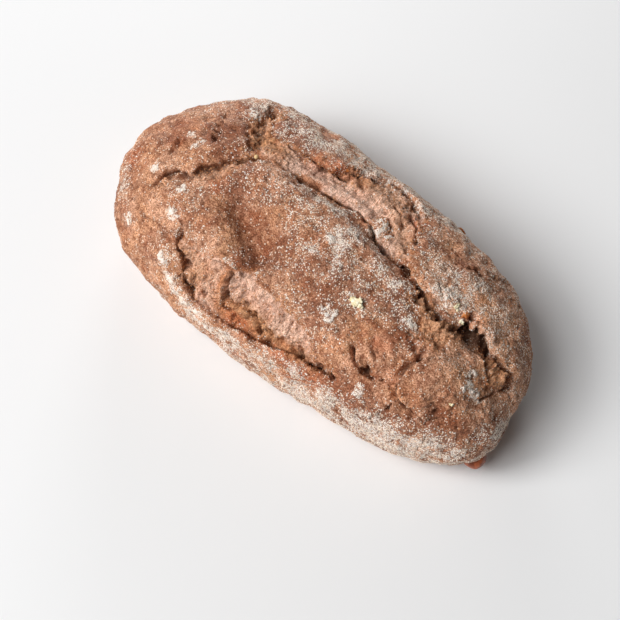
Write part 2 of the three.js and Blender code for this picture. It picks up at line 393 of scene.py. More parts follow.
# %% Cells and wandering
def cells(points, size, seed):
    """How far the nearest scattered seed is, in cell sizes, and a number of that seed's own."""
    place = points / size
    cell = np.floor(place).astype(np.int64)
    nearest = np.full(len(points), 9.0)
    number = np.zeros(len(points))
    for step in np.array(list(np.ndindex(3, 3, 3))) - 1:
        seeds = np.stack([scatter(cell + step, seed + i) for i in range(3)], 1)
        distance = np.linalg.norm(place - cell - step - seeds, axis=1)
        number = np.where(distance < nearest, scatter(cell + step, seed + 3), number)
        nearest = np.minimum(nearest, distance)
    return nearest, number


def wander(points, wavelength, amount, seed):
    """Points moved a little, so that lines measured from them meander."""
    return points + amount * np.stack([lumps(points, wavelength, 1, seed + i) for i in range(3)], 1)


meandering = wander(wander(skin, 6 * mm, 1.0 * mm, 1), 1.8 * mm, 0.5 * mm, 5)
print("lines wander by up to", round(float(np.abs(meandering - skin).max() / mm), 2), "mm")

# %% [markdown]
# ## Cracks and creases
#
# Where the crust split, it left a V-shaped crack: steep on the side where the crust was pulled up, gentler on
# the side where fresh crumb was dragged out. Where it only folded, it left a shallow crease. Both are one
# function with different numbers, all in millimetres: the depth, the half width on the left and on the right
# of someone who walks along the line, how far the crust rises on the left and on the right, and how far the
# edge that rises more is pulled out over the crack.

# %% Cracks of the crown
CROWN_CRACKS = {  # depth, half width left and right, lift left and right, hang (mm), places
    "crown tear, narrow end": (5.2, 1.2, 0.8, 0, 0.6, 0.4, [
        (-38, 10), (-33.4, 10.2), (-30, 11.7), (-27, 13.4), (-23.5, 14.6), (-16.6, 15.3), (-9, 17.1),
        (-1, 17.7), (7, 17.8), (12, 16.5), (17, 13.4), (23, 11)]),
    "crown tear, wide end": (3.8, 1.1, 1.7, 0.5, 0.3, 0.5, [
        (3, 18), (9, 17.5), (13, 16), (15.4, 14.2), (19.5, 12.3), (23.3, 11.2), (28, 9.5), (31.5, 8.6),
        (34.6, 8.6), (40, 5.7), (44, 4.3), (48, 2.1), (51.6, 1.1), (59, 1.1), (65, 2.4), (69, 4)]),
    "cavity": (7.5, 2.5, 2.1, 0.3, 0.2, 0.6, [
        (66, 3), (68, 3.2), (70, 5.2), (73.6, 6.3), (77, 5.8), (79.5, 4.6)]),
    "cavity notch": (3.2, 1.1, 1.2, 0.3, 0.2, 0.1, [
        (67, 5), (66.7, 9), (66, 14.5)]),
    "tail crease": (1.9, 0.7, 1.3, 0.7, 0, 0.4, [
        (78, 5.8), (81, 6), (84.5, 6.2), (87.5, 7.4), (90, 8.6), (91.6, 6), (92, -1), (91.3, -10),
        (90.2, -20), (88.4, -26)]),
}
print(len(CROWN_CRACKS), "in the crown")

# %% Creases of the head
HEAD_CREASES = {  # depth, half width left and right, lift left and right, hang (mm), places
    "head crease": (2.3, 0.9, 2.6, 0.6, 0, 0.6, [
        (-71, -36), (-70, -27), (-66.5, -24), (-65, -20), (-59.9, -19), (-58.5, -12.7), (-54.8, -7),
        (-51, 0.5), (-47, 4.4), (-44.6, 7), (-40.8, 10.9), (-37, 11.6)]),
    "head shelf": (1.0, 1.0, 0.6, 0, 0.5, 0.3, [
        (-58, -22), (-52.6, -18.5), (-49, -14), (-46, -8), (-45, -5)]),
    "head pit": (3.4, 1.8, 1.8, 0.3, 0.3, 0.2, [
        (-54.6, 48), (-54.4, 43.8), (-53.5, 38), (-53, 33)]),
    "head notch": (1.8, 2.4, 2.6, 0.3, 0.4, 0.2, [
        (-53, 38), (-51.6, 31), (-48.6, 24), (-46.4, 18), (-44.6, 12)]),
    "head split": (2.4, 1.0, 1.4, 0.6, 0, 0.4, [
        (-69, 30), (-67.2, 25), (-64, 16.5), (-61.8, 10), (-60.4, 3)]),
    "head dimple": (1.3, 0.9, 1.4, 0.2, 0.1, 0.0, [
        (-75, 0), (-74, -5), (-73, -12), (-72, -17)]),
    "left plate": (1.0, 0.8, 1.6, 0.2, 0.3, 0.0, [
        (-86, -8), (-88, -20), (-88.5, -32), (-87, -42)]),
    "near plate": (0.9, 1.4, 0.6, 0, 0.3, 0.0, [
        (-78, -50), (-72, -47), (-65, -50), (-58, -47), (-52, -50), (-47, -47)]),
    "hump foot": (1.3, 1.1, 0.8, 0.2, 0, 0.1, [
        (-55, -33), (-52, -38), (-47, -41), (-44, -45)]),
}
print(len(HEAD_CREASES), "in the head")

# %% Tears of the near flank
FLANK_TEARS = {  # depth, half width left and right, lift left and right, hang (mm), places
    "flank tear, head end": (2.8, 1.9, 1.0, 0, 0.6, 0.7, [
        (-45.5, -43), (-43.5, -50), (-40.5, -54), (-38.5, -58), (-35, -62), (-31.5, -65), (-27, -67.5)]),
    "flank step": (1.2, 1.8, 0.7, 0, 0.7, 0.3, [
        (-29, -67), (-21, -67.5), (-13, -66), (-5, -66)]),
    "flank tear": (4.0, 2.0, 0.7, 0, 0.8, 1.0, [
        (-9, -66.3), (-2, -66), (5, -65.2), (12, -62.8), (18, -60), (22, -58.6), (27, -58.8),
        (33, -58.7), (41, -57.8)]),
    "flank wall": (3.0, 1.1, 0.6, 0, 1.2, 0.4, [
        (-18.6, -41.5), (-17.8, -46), (-17, -52), (-16.3, -58), (-14.5, -62)]),
    "pocket rim": (0.9, 0.7, 0.7, 0.4, 0, 0.1, [
        (-30, -56), (-27.5, -58.5), (-24.2, -58.5), (-22.4, -56), (-21.7, -50)]),
    "ledge": (1.8, 1.2, 0.8, 0.2, 0.7, 0.3, [
        (-16, -58.5), (-11, -56), (-6, -54.5), (-1, -55.5), (3, -60)]),
    "cap ledge": (0.9, 0.6, 1.6, 0.7, 0, 0.3, [
        (-38, -46), (-28, -44), (-21, -42.5), (-16, -40), (-10, -38.5), (-3, -38.5), (3, -40)]),
}
print(len(FLANK_TEARS), "in the near flank")

# %% Folds round the lobe
LOBE_FOLDS = {  # depth, half width left and right, lift left and right, hang (mm), places
    "long fold": (3.2, 1.1, 1.3, 0.6, 0.5, 0.5, [
        (39.5, -39), (42, -42.5), (44, -43), (45.9, -44.5), (49.4, -45.9), (54, -47.6)]),
    "short fold": (2.6, 0.9, 0.9, 0.5, 0.4, 0.3, [
        (44, -39), (46.4, -41.4), (48.2, -43), (50.2, -44.3), (52.5, -45)]),
    "foot crease": (1.8, 0.7, 0.8, 0.3, 0.4, 0.2, [
        (64, -49.6), (63.7, -51), (63.2, -54.1), (61.8, -57.5)]),
    "lobe crease": (2.2, 1.8, 0.9, 0, 1.5, 0.4, [
        (80, -47.5), (76, -50.2), (72, -50.7), (66.5, -48.2), (62.8, -44.8), (61.2, -39), (61.4, -33),
        (62.3, -27), (64, -21.5)]),
    "lobe edge": (1.7, 1.5, 0.6, 0, 1.1, 0.6, [
        (74, -3), (77.8, -6.4), (82.9, -10.5), (86, -16), (87.6, -22.4), (87, -27)]),
    "small crease": (1.8, 0.9, 0.9, 0.4, 0.3, 0.2, [
        (53, -19), (56, -20.6), (59, -21.8), (60.6, -25)]),
    "cap crease": (1.6, 1.0, 0.8, 0.4, 0.3, 0.2, [
        (44, -29), (45.4, -33), (48, -36.5), (52, -39)]),
}
print(len(LOBE_FOLDS), "round the lobe")

# %% Lip and wrinkles of the far side
FAR_WRINKLES = {  # depth, half width left and right, lift left and right, hang (mm), places
    "far fold": (1.2, 0.8, 1.1, 0.3, 0.1, 0.0, [
        (50, 30), (54, 33), (57, 37), (60, 42), (63, 48), (66, 58)]),
    "far lip": (2.4, 0.8, 2.2, 1.0, 0, 1.1, [
        (-38, 25), (-31, 27), (-24, 29), (-16, 28.7), (-11, 33), (-5, 38), (1, 43), (8, 46.5), (15, 46),
        (21, 42), (26, 38), (29, 36)]),
    "lip recess": (3.0, 0.9, 1.6, 0.9, 0, 1.0, [
        (-27, 27), (-23, 28.6), (-17, 28.8), (-11, 29.4), (-7, 32), (-4, 36)]),
    "far wrinkle": (2.1, 1.0, 1.1, 0.5, 0.5, 0.2, [
        (12.2, 29.3), (16, 26), (20.3, 22)]),
    "second wrinkle": (2.0, 0.9, 1.0, 0.5, 0.4, 0.2, [
        (14.7, 34.4), (19.9, 29.8), (23.8, 25.9)]),
    "third wrinkle": (2.3, 1.0, 1.1, 0.6, 0.4, 0.3, [
        (21.6, 35.3), (26.5, 28.9), (30.1, 24.6), (33.6, 22.8)]),
}
print(len(FAR_WRINKLES), "on the far side")
CRACKS = CROWN_CRACKS | HEAD_CREASES | FLANK_TEARS | LOBE_FOLDS | FAR_WRINKLES
print(len(CRACKS), "cracks and creases")

# %% How far each vertex lies from a line
def beside(path, within=9 * mm):
    """The vertices near a path: which, how far, how far along it, on which side, and the way to it."""
    which = np.flatnonzero(((skin > path.min(0) - within) & (skin < path.max(0) + within)).all(1))
    points = meandering[which]
    squared = (points**2).sum(1)[:, None] + (path**2).sum(1) - 2 * points @ path.T
    nearest = squared.argmin(1)
    forward = np.gradient(path, axis=0)
    forward /= np.linalg.norm(forward, axis=1, keepdims=True)
    apart = points - path[nearest]
    inner = (nearest > 0) & (nearest < len(path) - 1)
    apart -= inner[:, None] * (apart * forward[nearest]).sum(1, keepdims=True) * forward[nearest]
    distance = np.linalg.norm(apart, axis=1)
    side = np.sign((np.cross(forward[nearest], apart) * outward[which]).sum(1))
    near = distance < within
    inward = -apart / np.maximum(distance, 1e-9)[:, None]
    return which[near], distance[near], (nearest / (len(path) - 1))[near], side[near], inward[near]


straight = line_over([(-10, 0), (10, 0)])
print("vertices within reach of a short line along the crown:", len(beside(straight)[0]))

# %% Open the cracks
sunk = np.zeros(count)  # how far each vertex goes in
pulled = np.zeros((count, 3))  # how far it moves sideways
shade = np.zeros(count)  # painted shade: 1 in the bottom of a crack
ragged = np.clip(1 + 0.8 * lumps(skin, 3.5 * mm, 2, 9), 0.3, 2)  # how much wider and deeper cracks are here
DYING_OUT = 0.1  # the share of a crack over which each end dies out
EDGE = 1.0 * mm  # breadth of the edge that hangs over a crack
SWELLING = 2.6 * mm  # how far a raised side reaches
DARK_FROM = 2.4  # a crack this deep, in millimetres, gets its full painted shade in its bottom


def split(deep, left, right, lift_left, lift_right, hang, places):
    """Opens one crack: sinks it, raises its sides, hangs its edge over it and paints shade into its bottom.
    """
    path = line_over(places)
    which, distance, share, side, inward = beside(path)
    taper = 0.15 + 0.85 * smoothstep(0, DYING_OUT, share) * smoothstep(0, DYING_OUT, 1 - share)
    on_left = side > 0
    width = np.where(on_left, left, right) * mm * ragged[which] * (0.5 + 0.5 * taper)
    opened = np.clip(1 - distance / width, 0, 1)
    sunk[which] += deep * mm * taper * ragged[which] * opened**0.8
    rise = np.where(on_left, lift_left, lift_right) * mm * taper
    beyond = smoothstep(0.3, 1.1, distance / width) * np.exp(-distance / SWELLING)
    sunk[which] -= 1.6 * rise * beyond
    raised_side = on_left == (lift_left > lift_right)
    edge = np.exp(-(((distance - 1.1 * width) / EDGE) ** 2)) * taper
    pulled[which] += inward * (hang * mm * edge * raised_side)[:, None]
    # Painted shade: the bottom of the crack is darkened in colour.
    np.maximum.at(shade, which, smoothstep(0.2, 0.9, opened) * taper * min(1, deep / DARK_FROM))
    return len(path)


for name, crack in CRACKS.items():
    print(f"{name}: {split(*crack)} steps, {crack[0]} mm deep")

# %% [markdown]
# ## Holes, hollows and humps
#
# Gas bubbles that burst at the tears left small deep holes. Between them the dough sagged and swelled in
# soft hollows and humps. A hole is sharp, with painted shade in it. A hollow is a wide soft bell, and a hump
# is one of negative depth, as are the small knobs of crumb that stand up inside the tears. All are set at
# places.

# %% Holes
def how_many(table):
    """The number of entries in all groups of a table."""
    return sum(len(entries) for entries in table.values())


HOLES = {  # along, around, radius (mm), depth (mm)
    "along the crown tear": [
        (-29.9, 12.4, 1.1, 2.2), (-16, 15.8, 0.9, 2.0), (-2, 20, 0.7, 1.0), (16.5, 14, 1.0, 1.6),
        (31, 8.6, 1.1, 1.6),
    ],
    "under the far lip": [
        (-23.1, 29, 1.1, 2.4), (-20.4, 29.4, 0.8, 1.6), (-16, 29, 1.2, 2.4), (-11.2, 29.5, 1.3, 1.4),
        (-9.7, 36.5, 0.9, 2.0), (-7.1, 42, 1.0, 2.0), (-4.4, 42.3, 0.8, 1.6),
    ],
    "along the flank tear": [
        (-42.3, -50.8, 1.4, 2.2), (-40.4, -52.1, 1.2, 2.0), (-32, -63, 1.8, 3.0), (-29, -66.5, 1.4, 2.6),
        (-28, -67, 1.2, 2.4), (-25, -61.5, 1.3, 2.0), (-18.3, -43.6, 0.9, 2.2), (-16.1, -56, 1.5, 2.6),
        (-14, -60.6, 1.6, 2.4), (-6, -53, 1.2, 2.0), (-4.4, -54, 1.0, 1.4), (-1.5, -53.5, 1.1, 1.8),
        (-1.3, -56.5, 1.3, 2.2), (0.6, -55, 0.9, 1.2), (2.4, -61, 1.3, 2.2), (2.7, -66, 1.5, 2.8),
        (12.5, -62.6, 1.3, 2.2), (21.5, -58.4, 1.7, 3.4), (30.7, -58.6, 1.2, 2.0),
        (38.4, -58.4, 1.0, 1.8),
    ],
    "in the folds and round the lobe": [
        (42.4, -43, 1.0, 2.2), (48.9, -34.6, 0.7, 1.6), (51.8, -46.4, 1.1, 2.2), (55.9, -44.6, 0.8, 1.8),
        (62.3, -27, 1.0, 1.8), (79, -44, 1.1, 1.0), (88, -47, 1.0, 0.8),
    ],
    "in the cavity": [
        (66, 12, 1.0, 2.2), (66.6, 4.2, 1.9, 4.0), (70, 5.2, 2.2, 5), (71, 9, 1.3, 2.6),
        (72.8, 6.6, 2.4, 5.5), (76, 7, 2.1, 5), (78.6, 5.8, 1.5, 3.0),
    ],
    "in the head": [
        (-75.4, -40.8, 0.8, 1.6), (-46, 13, 1.2, 1.4),
    ],
}
print(how_many(HOLES), "holes")

# %% Hollows, humps and knobs
BELLS = {  # along, around, reach along (mm), reach round (mm), depth (mm)
    "hollows": [
        (-62, -22, 5, 3.5, 0.6), (-62, -20, 4, 3, 0.6), (-55, 24, 3, 7, 0.9), (-52, -8, 7, 4, 0.7),
        (-50, -11, 3.5, 2.5, 0.5), (-45, 21, 5, 6, 0.7), (-42, 62, 8, 8, 1.1), (-36, -17, 6, 4, 1.2),
        (-28, -21, 6, 4, 1.9), (-25.2, -53.6, 2.8, 2.8, 1.0), (-25, -50, 3.5, 5, 0.8),
        (-22, 17, 13, 2.5, 0.5), (-20, -25, 6, 4.5, 2.4), (-17, 27.5, 6, 1.8, 1.0),
        (-14, -30, 5, 3.5, 1.1), (-12, -30, 4.5, 4, 2.5), (-11, -46, 3.5, 4, 0.9),
        (4, 18.8, 12, 2.5, 0.9), (5, -54, 6, 3, 0.5), (10, 32, 7, 4, 0.5), (30, -25, 6, 4, 0.5),
        (44, -48, 7, 2.5, 0.6), (48, -4, 5, 4, 1.0), (56, -13, 7, 5, 1.2), (85, -2, 3, 7, 0.8),
    ],
    "humps": [
        (-80, -20, 5, 8, -0.5), (-65, 50, 9, 9, -1.2), (-64, -75, 14, 10, -1.3), (-60, 4, 8, 5, -0.5),
        (-50, -58, 5, 4, -0.6), (-38, -4, 8, 5, -0.7), (-34, -33, 9, 5, -1.4), (-24, 20, 9, 2.2, -0.5),
        (-5, 24, 12, 2.5, -0.5), (4, -24, 9, 6, -0.6), (16, 18.4, 4.2, 2.9, -1.0), (19, 56, 8, 6, -0.8),
        (20, 22, 5, 3, -0.5), (22, 29, 2, 2.4, -0.7), (28.4, 29, 2, 2.4, -0.7), (35, 25.5, 3, 2.5, -0.6),
        (48, 52, 7, 6, -1.0), (48.9, -30, 4, 3.4, -0.9), (72.5, -29, 8, 8, -2.0),
    ],
    "knobs of crumb": [
        (-40, -56, 1.4, 1.3, -1.0), (-37, -61, 1.2, 1.2, -0.8), (-35, -58.5, 1.5, 1.3, -1.2),
        (-31, -61, 1.4, 1.4, -1.0), (-20.6, 30.6, 1.1, 0.9, -1.0), (-17, 30.8, 1.0, 0.9, -0.8),
        (-14, 32, 1.3, 1.1, -1.1), (-10.4, 34, 1.2, 1.0, -0.9), (-7, 36.6, 1.3, 1.0, -0.9),
    ],
}
print(how_many(BELLS), "hollows, humps and knobs")

# %% Sink the holes and hollows
flat = unrolled(skin)
meandering_flat = unrolled(meandering)
GAPING = 4  # a hole deeper than this, in millimetres, gets painted shade up to its rim


def bell(places, along, around, long, wide):
    """1 at a place, falling off smoothly with the reach along and round."""
    offset = (places - flat_places([(along, around)])[0]) / (np.array([long, wide]) * mm)
    return np.exp(-(offset**2).sum(1))


def add_bells(what, mask, table, places, unit=1):
    """Adds soft bells to a mask, group by group."""
    for group, bells in table.items():
        for along, around, long, wide, amount in bells:
            mask += amount * unit * bell(places, along, around, long, wide)
        print(f"{what}, {group}: {len(bells)}")


for group, holes in HOLES.items():
    for along, around, radius, deep in holes:
        distance = np.linalg.norm(meandering - np.array(spot(along, around)), axis=1)
        opened = smoothstep(1.15 * radius * mm, 0.3 * radius * mm, distance)
        sunk += deep * mm * opened
        # Painted shade: each hole is darkened in colour, a deep one up to its rim.
        dark = smoothstep(1.5 * radius * mm, 0.7 * radius * mm, distance) if deep > GAPING else opened
        shade = np.maximum(shade, dark * min(1, deep / 2))
    print(f"holes {group}: {len(holes)}")
add_bells("relief", sunk, BELLS, flat, mm)

# %% [markdown]
# ## Torn crumb
#
# Between the edges of a tear the inside of the loaf shows: paler, pinkish, and full of stretched pores. An
# area is a polygon of places, and its border is frayed by noise, in wide tongues with shreds on them. The
# same signed distance sinks the crumb by the thickness of the crust, paints it, and keeps flour off it. The
# two numbers after each name say how golden the crumb is toasted and how rough it is torn. Soft patches then
# toast it further, or less where their amount is negative.

# %% Areas of torn crumb
CRUMB = {  # how golden, how rough, the corners of the area
    "crown": (0.0, 0.5, [
        (-42, 12), (-37, 13), (-30, 14), (-20, 17.5), (-8, 18.5), (4, 19), (12, 18), (17, 15),
        (24, 12.5), (32, 10), (38, 9), (33, 18), (29, 24), (27, 34), (22, 40), (14, 45), (6, 44),
        (-2, 40), (-9, 36), (-15, 29), (-24, 28.5), (-32, 26.5), (-38, 25), (-43, 22), (-47, 17)]),
    "crack floor": (0.85, 1.0, [
        (41, 4.5), (50, 2.5), (58, 2), (66, 3), (70, 0), (68.5, -10), (65, -20), (60, -20), (54, -14),
        (49, -6), (44, -1)]),
    "head": (0.6, 0.8, [
        (-60, -20), (-56, -9), (-51, 1), (-46, 8), (-41, 9), (-43, -2), (-47, -12), (-52, -18)]),
    "head notch": (0.75, 1.0, [
        (-55, 47), (-49, 46), (-46, 33), (-42, 23), (-44, 14), (-50, 12), (-53, 22), (-55, 32)]),
    "flank": (0.12, 0.9, [
        (-43.5, -47), (-36, -44.5), (-28, -43), (-21, -42.5), (-16, -40), (-10, -38.5), (-4, -39.5),
        (4, -41), (12, -44), (20, -48), (30, -52), (38, -57), (30, -59), (20, -60), (9, -64.5),
        (-2, -66.5), (-14, -66.5), (-26, -68), (-35, -64), (-39.5, -60), (-40.5, -54)]),
    "tail": (0.9, 1.1, [
        (79, 4), (84, 3.5), (89, 6), (91.5, 3), (91, -10), (88, -19), (85.5, -13), (81.5, -7.5),
        (77, -3)]),
}
print(len(CRUMB), "areas:", ", ".join(CRUMB))

# %% Patches toasted further
TOASTED = {  # along, around, reach along (mm), reach round (mm), amount
    "crown crumb": [
        (-42, 20, 5, 5, 0.6), (-36, 21, 5, 4, 0.6), (-30, 9, 5, 4, 0.5), (-24, 19, 5, 4, -0.3),
        (-18, 29, 8, 2.2, 0.5), (-5, 34, 8, 3, 0.8), (4, 40, 9, 4, 0.5), (14, 33, 5, 5, 0.5),
        (22, 28, 4, 6, 0.5), (29, 22, 3.5, 6, 0.5), (34, 16, 4, 5, 0.4),
    ],
    "flank crumb": [
        (-40, -49, 4, 3, 0.5), (-34, -60, 5, 4, 0.6), (-29, -51, 5, 4, 0.5), (-19.5, -49, 1.6, 6, 0.9),
        (-14, -62, 5, 3, 0.9), (-6, -60, 8, 4, 0.8), (-1, -56, 6, 3, 0.7), (2, -62, 8, 3, 0.7),
        (3, -66, 6, 3, 0.5), (11, -61, 6, 3, 0.4), (14, -62, 9, 3, 0.5), (24, -58, 8, 2.5, 0.6),
    ],
}
print(how_many(TOASTED), "toasted patches")

# %% Inside or outside an area
def inside(polygon, points):
    """Signed distance in metres from each flat point to a polygon's edge, positive within."""
    corners = flat_places(polygon)
    nearest = np.full(len(points), np.inf)
    crossings = np.zeros(len(points), int)
    for a, b in zip(corners, np.roll(corners, -1, axis=0)):
        edge = b - a
        share = np.clip(((points - a) @ edge) / (edge @ edge), 0, 1)
        nearest = np.minimum(nearest, np.linalg.norm(points - a - share[:, None] * edge, axis=1))
        spans = (a[1] > points[:, 1]) != (b[1] > points[:, 1])
        run = a[0] + (points[:, 1] - a[1]) / (edge[1] if edge[1] else 1e-9) * edge[0]
        crossings += spans & (points[:, 0] < run)
    return np.where(crossings % 2 == 1, nearest, -nearest)


square = [(-1, -1), (1, -1), (1, 1), (-1, 1)]
middle = np.zeros((1, 2))
print("the middle of a small square lies", round(float(inside(square, middle)[0] / mm), 2), "mm inside it")

# %% Paint the torn areas
upper = np.flatnonzero(skin[:, 2] > 0.3 * height)
tongues = np.stack([2.2 * lumps(skin[upper], 8 * mm, 1, 44 + i) for i in range(2)], 1)
shreds = np.stack([1.4 * lumps(skin[upper], 3 * mm, 2, 40 + i) for i in range(2)], 1)
frayed = meandering_flat[upper] + mm * (tongues + shreds)
crumb = np.zeros(count)
golden = np.zeros(count)
coarse = np.zeros(count)
for name, (toasted, rough, area) in CRUMB.items():
    depth_in = inside(area, frayed)
    share = smoothstep(-1.1 * mm, 0.9 * mm, depth_in)
    golden[upper] = np.where(share > crumb[upper], toasted, golden[upper])
    coarse[upper] = np.where(share > crumb[upper], rough, coarse[upper])
    crumb[upper] = np.maximum(crumb[upper], share)
    print(f"{name} crumb: {np.count_nonzero(depth_in > 0)} vertices")
add_bells("toasted", golden, TOASTED, meandering_flat)
golden = np.clip(golden, 0, 1)

# %% Pores and strands in the crumb
torn = np.flatnonzero(crumb > 0.01)
pulled_out = wander(skin[torn], 4 * mm, 1.5 * mm, 50) / np.array([1.0, 2.2, 2.2])


def pores(points, size, seed, kept):
    """Round pits: 1 in the middle of a pore, 0 between pores. Only some of the cells hold one."""
    distance, number = cells(points, size, seed)
    return smoothstep(0.5, 0.12, distance) * (number < kept)


small_pores = pores(pulled_out, 1.1 * mm, 1, 0.6)
large_pores = pores(pulled_out, 2.8 * mm, 2, 0.5)
strands = 1 - np.abs(lumps(pulled_out / np.array([0.7, 2.0, 2.0]), 1.2 * mm, 2, 3))
crust_thickness = 0.8 * mm
coarse = (coarse + 0.25 * golden)[torn]
crumb_relief = coarse * (
    0.6 * mm * small_pores
    + 1.3 * mm * large_pores
    - 1.0 * mm * strands
    - 1.1 * mm * lumps(skin[torn], 3.2 * mm, 3, 4)
)
sunk[torn] += crumb[torn] * (crust_thickness + crumb_relief)
# Painted shade in the pores of the crumb.
shade[torn] = np.maximum(shade[torn], crumb[torn] * coarse * (0.7 * large_pores + 0.35 * small_pores))
print(len(torn), "vertices of torn crumb")

# %% [markdown]
# ## The crust's own relief
#
# Slow swellings of the dough, knobs of grain under its skin, raised flakes where it dried first, small pits
# and thin veins where it crazed. Beside the lobe the dough is knobbly, so it has stronger lumps of its own.
# All of it fades out towards the base, which baked flat on the stone.

# %% Lumps, flakes, pits and wrinkles of the crust
sound = 1 - crumb
warped = wander(skin, 3 * mm, 1.2 * mm, 60)
knobbly = bell(flat, 46, -35, 12, 8)
SWELLINGS = [  # name, where, height (mm), wavelength (mm), octaves, seed
    ("slow swellings", np.ones(count), 0.6, 17, 2, 11),
    ("grain under the skin", sound, 0.7, 5.5, 1, 12),
    ("goose flesh", sound, 0.15, 1.9, 2, 13),
    ("knobs beside the lobe", knobbly, 1.1, 3.4, 2, 18),
]
for name, share, tall, wavelength, octaves, seed in SWELLINGS:
    sunk -= tall * mm * share * lumps(skin, wavelength * mm, octaves, seed)
    print(f"{name}: {tall} mm high, {wavelength} mm apart")
flake_distance, flake_number = cells(warped, 6 * mm, 14)
flakes = smoothstep(0.55, 0.42, flake_distance) * (flake_number < 0.55)
sunk -= 0.22 * mm * flakes * sound
pits = pores(warped, 2.6 * mm, 15, 0.35) * sound
sunk += 0.5 * mm * pits
crazed = smoothstep(-0.1, 0.4, lumps(skin, 12 * mm, 1, 17))
veins = np.clip(1 - np.abs(lumps(warped, 7 * mm, 2, 16)) / 0.06, 0, 1) * crazed
sunk += 0.6 * mm * veins * sound
# Painted shade in the pits and veins of the crust.
shade = np.maximum(shade, 0.4 * pits)
shade = np.maximum(shade, 0.45 * veins * sound)
print("deepest", round(sunk.max() / mm, 2), "mm, highest", round(-sunk.min() / mm, 2), "mm")

# %% [markdown]
# ## Where the flour lies, how it browned, and where shade and light are painted
#
# Flour was thrown on before baking and then rubbed and burst away, so it lies in patches. Each patch is a
# soft ellipse at a place, broken up by noise, and a negative amount takes flour away. Clumps are small heaps
# of it: they stand a little proud and cover crust and crumb alike. Browning is slower noise with darker
# places and paler ones; a few darker places are painted shade in hollows and a crease, and the paler far side
# and right end are partly painted light. Where sugar or nut oil came out the crust turned red.

# %% Patches of flour
FLOUR = {  # along, around, reach along (mm), reach round (mm), amount
    "far side": [
        (-74, 30, 8, 6, 0.2), (-60, 46, 9, 5, 0.35), (-50, 40, 12, 7, 0.1), (-40, 70, 40, 12, 0.35),
        (-26, 41, 26, 7, 0.4), (-2, 50, 34, 6, 0.8), (20, 30, 7, 4, 0.2), (20, 78, 50, 12, 0.4),
        (26, 50, 22, 7, 0.6), (58, 22, 7, 5, 0.6), (63, 30, 5, 4, 0.5), (66, 28, 14, 8, 0.15),
    ],
    "crown": [
        (-30, 2, 12, 6, 0.1), (-15, 10, 9, 4, 0.3), (0, 8, 13, 5, 0.48), (5, -15, 4, 2.5, 0.9),
        (7, -4, 4, 3, 0.8), (10, 3, 10, 5, 0.38), (13, -14, 3, 2.5, 0.8), (14, -10, 22, 10, 0.22),
        (30, 1, 12, 4, 0.5), (31, -20.6, 3, 2, 0.7), (38, -5, 4, 3, 0.3), (44, -10, 8, 5, 0.4),
        (45, 20, 8, 6, 0.25), (50, -15, 3.5, 2.5, 0.9), (55, 9, 6, 4, 0.9), (85, 15, 12, 16, 0.2),
    ],
    "near side and foot": [
        (-89, -44, 3, 2.5, 0.7), (-86, -50, 6, 4, 0.4), (-46, -58, 2.2, 2.5, 1.1),
        (-41, -64, 3, 2.5, 1.3), (-36, -68, 4, 3, 1.5), (-31, -72, 5, 3, 1.4), (-25, -75, 5, 3.5, 1.3),
        (-18, -79, 5, 3.5, 1.2), (-11, -79, 4, 2.5, 1.1), (-7, -74, 4, 2, 1.0), (8, -72, 22, 5, 0.5),
        (14, -90, 24, 5, 0.5), (27, -65, 6, 3, 0.5), (38, -80, 20, 7, 0.65), (62, -74, 18, 8, 0.9),
        (72, -86, 22, 8, 0.8), (82, -70, 14, 8, 0.85), (99, -38, 3, 10, 0.8),
    ],
    "rubbed bare": [
        (-80, -15, 8, 9, -0.15), (-78, 10, 10, 12, -0.3), (-68, -58, 12, 14, -0.2), (-66, 20, 8, 8, -0.2),
        (-22, -20, 12, 7, -0.25), (44, -32, 8, 7, -0.19), (52, -55, 12, 6, -0.2), (52, 33, 9, 6, -0.4),
        (74, -34, 12, 10, -0.15),
    ],
}
print(how_many(FLOUR), "patches of flour")

# %% Clumps of flour
CLUMPS = [  # along, around, reach along (mm), reach round (mm)
    (16.2, 18.3, 5.6, 4.2), (-58.5, -26.6, 3.0, 2.0), (-54.4, -39.3, 2.8, 2.2), (-66, -3, 2.0, 2.6),
    (-71.5, 2.5, 2.1, 2.0), (-64.9, 1.5, 1.5, 1.5), (-71.5, -58, 2.4, 2.4), (-73.8, -22.9, 1.8, 1.6),
    (-59, 36, 2.6, 2.6), (-20, -40.5, 2.4, 0.9), (-9, -37, 1.2, 1.0), (24, -33, 3, 2.4),
    (-75, -27, 2, 1.8), (80, -18, 2.4, 2.2), (83, -25, 2.8, 2.4), (87, -27, 2.6, 1.6),
    (50, -55, 2.2, 2.6), (-47.7, -57, 2, 2), (-41, -64, 3, 2), (-34, -69, 3, 2), (-25, -74, 3.5, 2.5),
    (-18, -79, 4, 2.5), (51, -15, 3, 1.8), (56, 10, 3, 2.5), (7, -5, 3, 2), (-38, 8, 2, 1.2),
]
print(len(CLUMPS), "clumps")

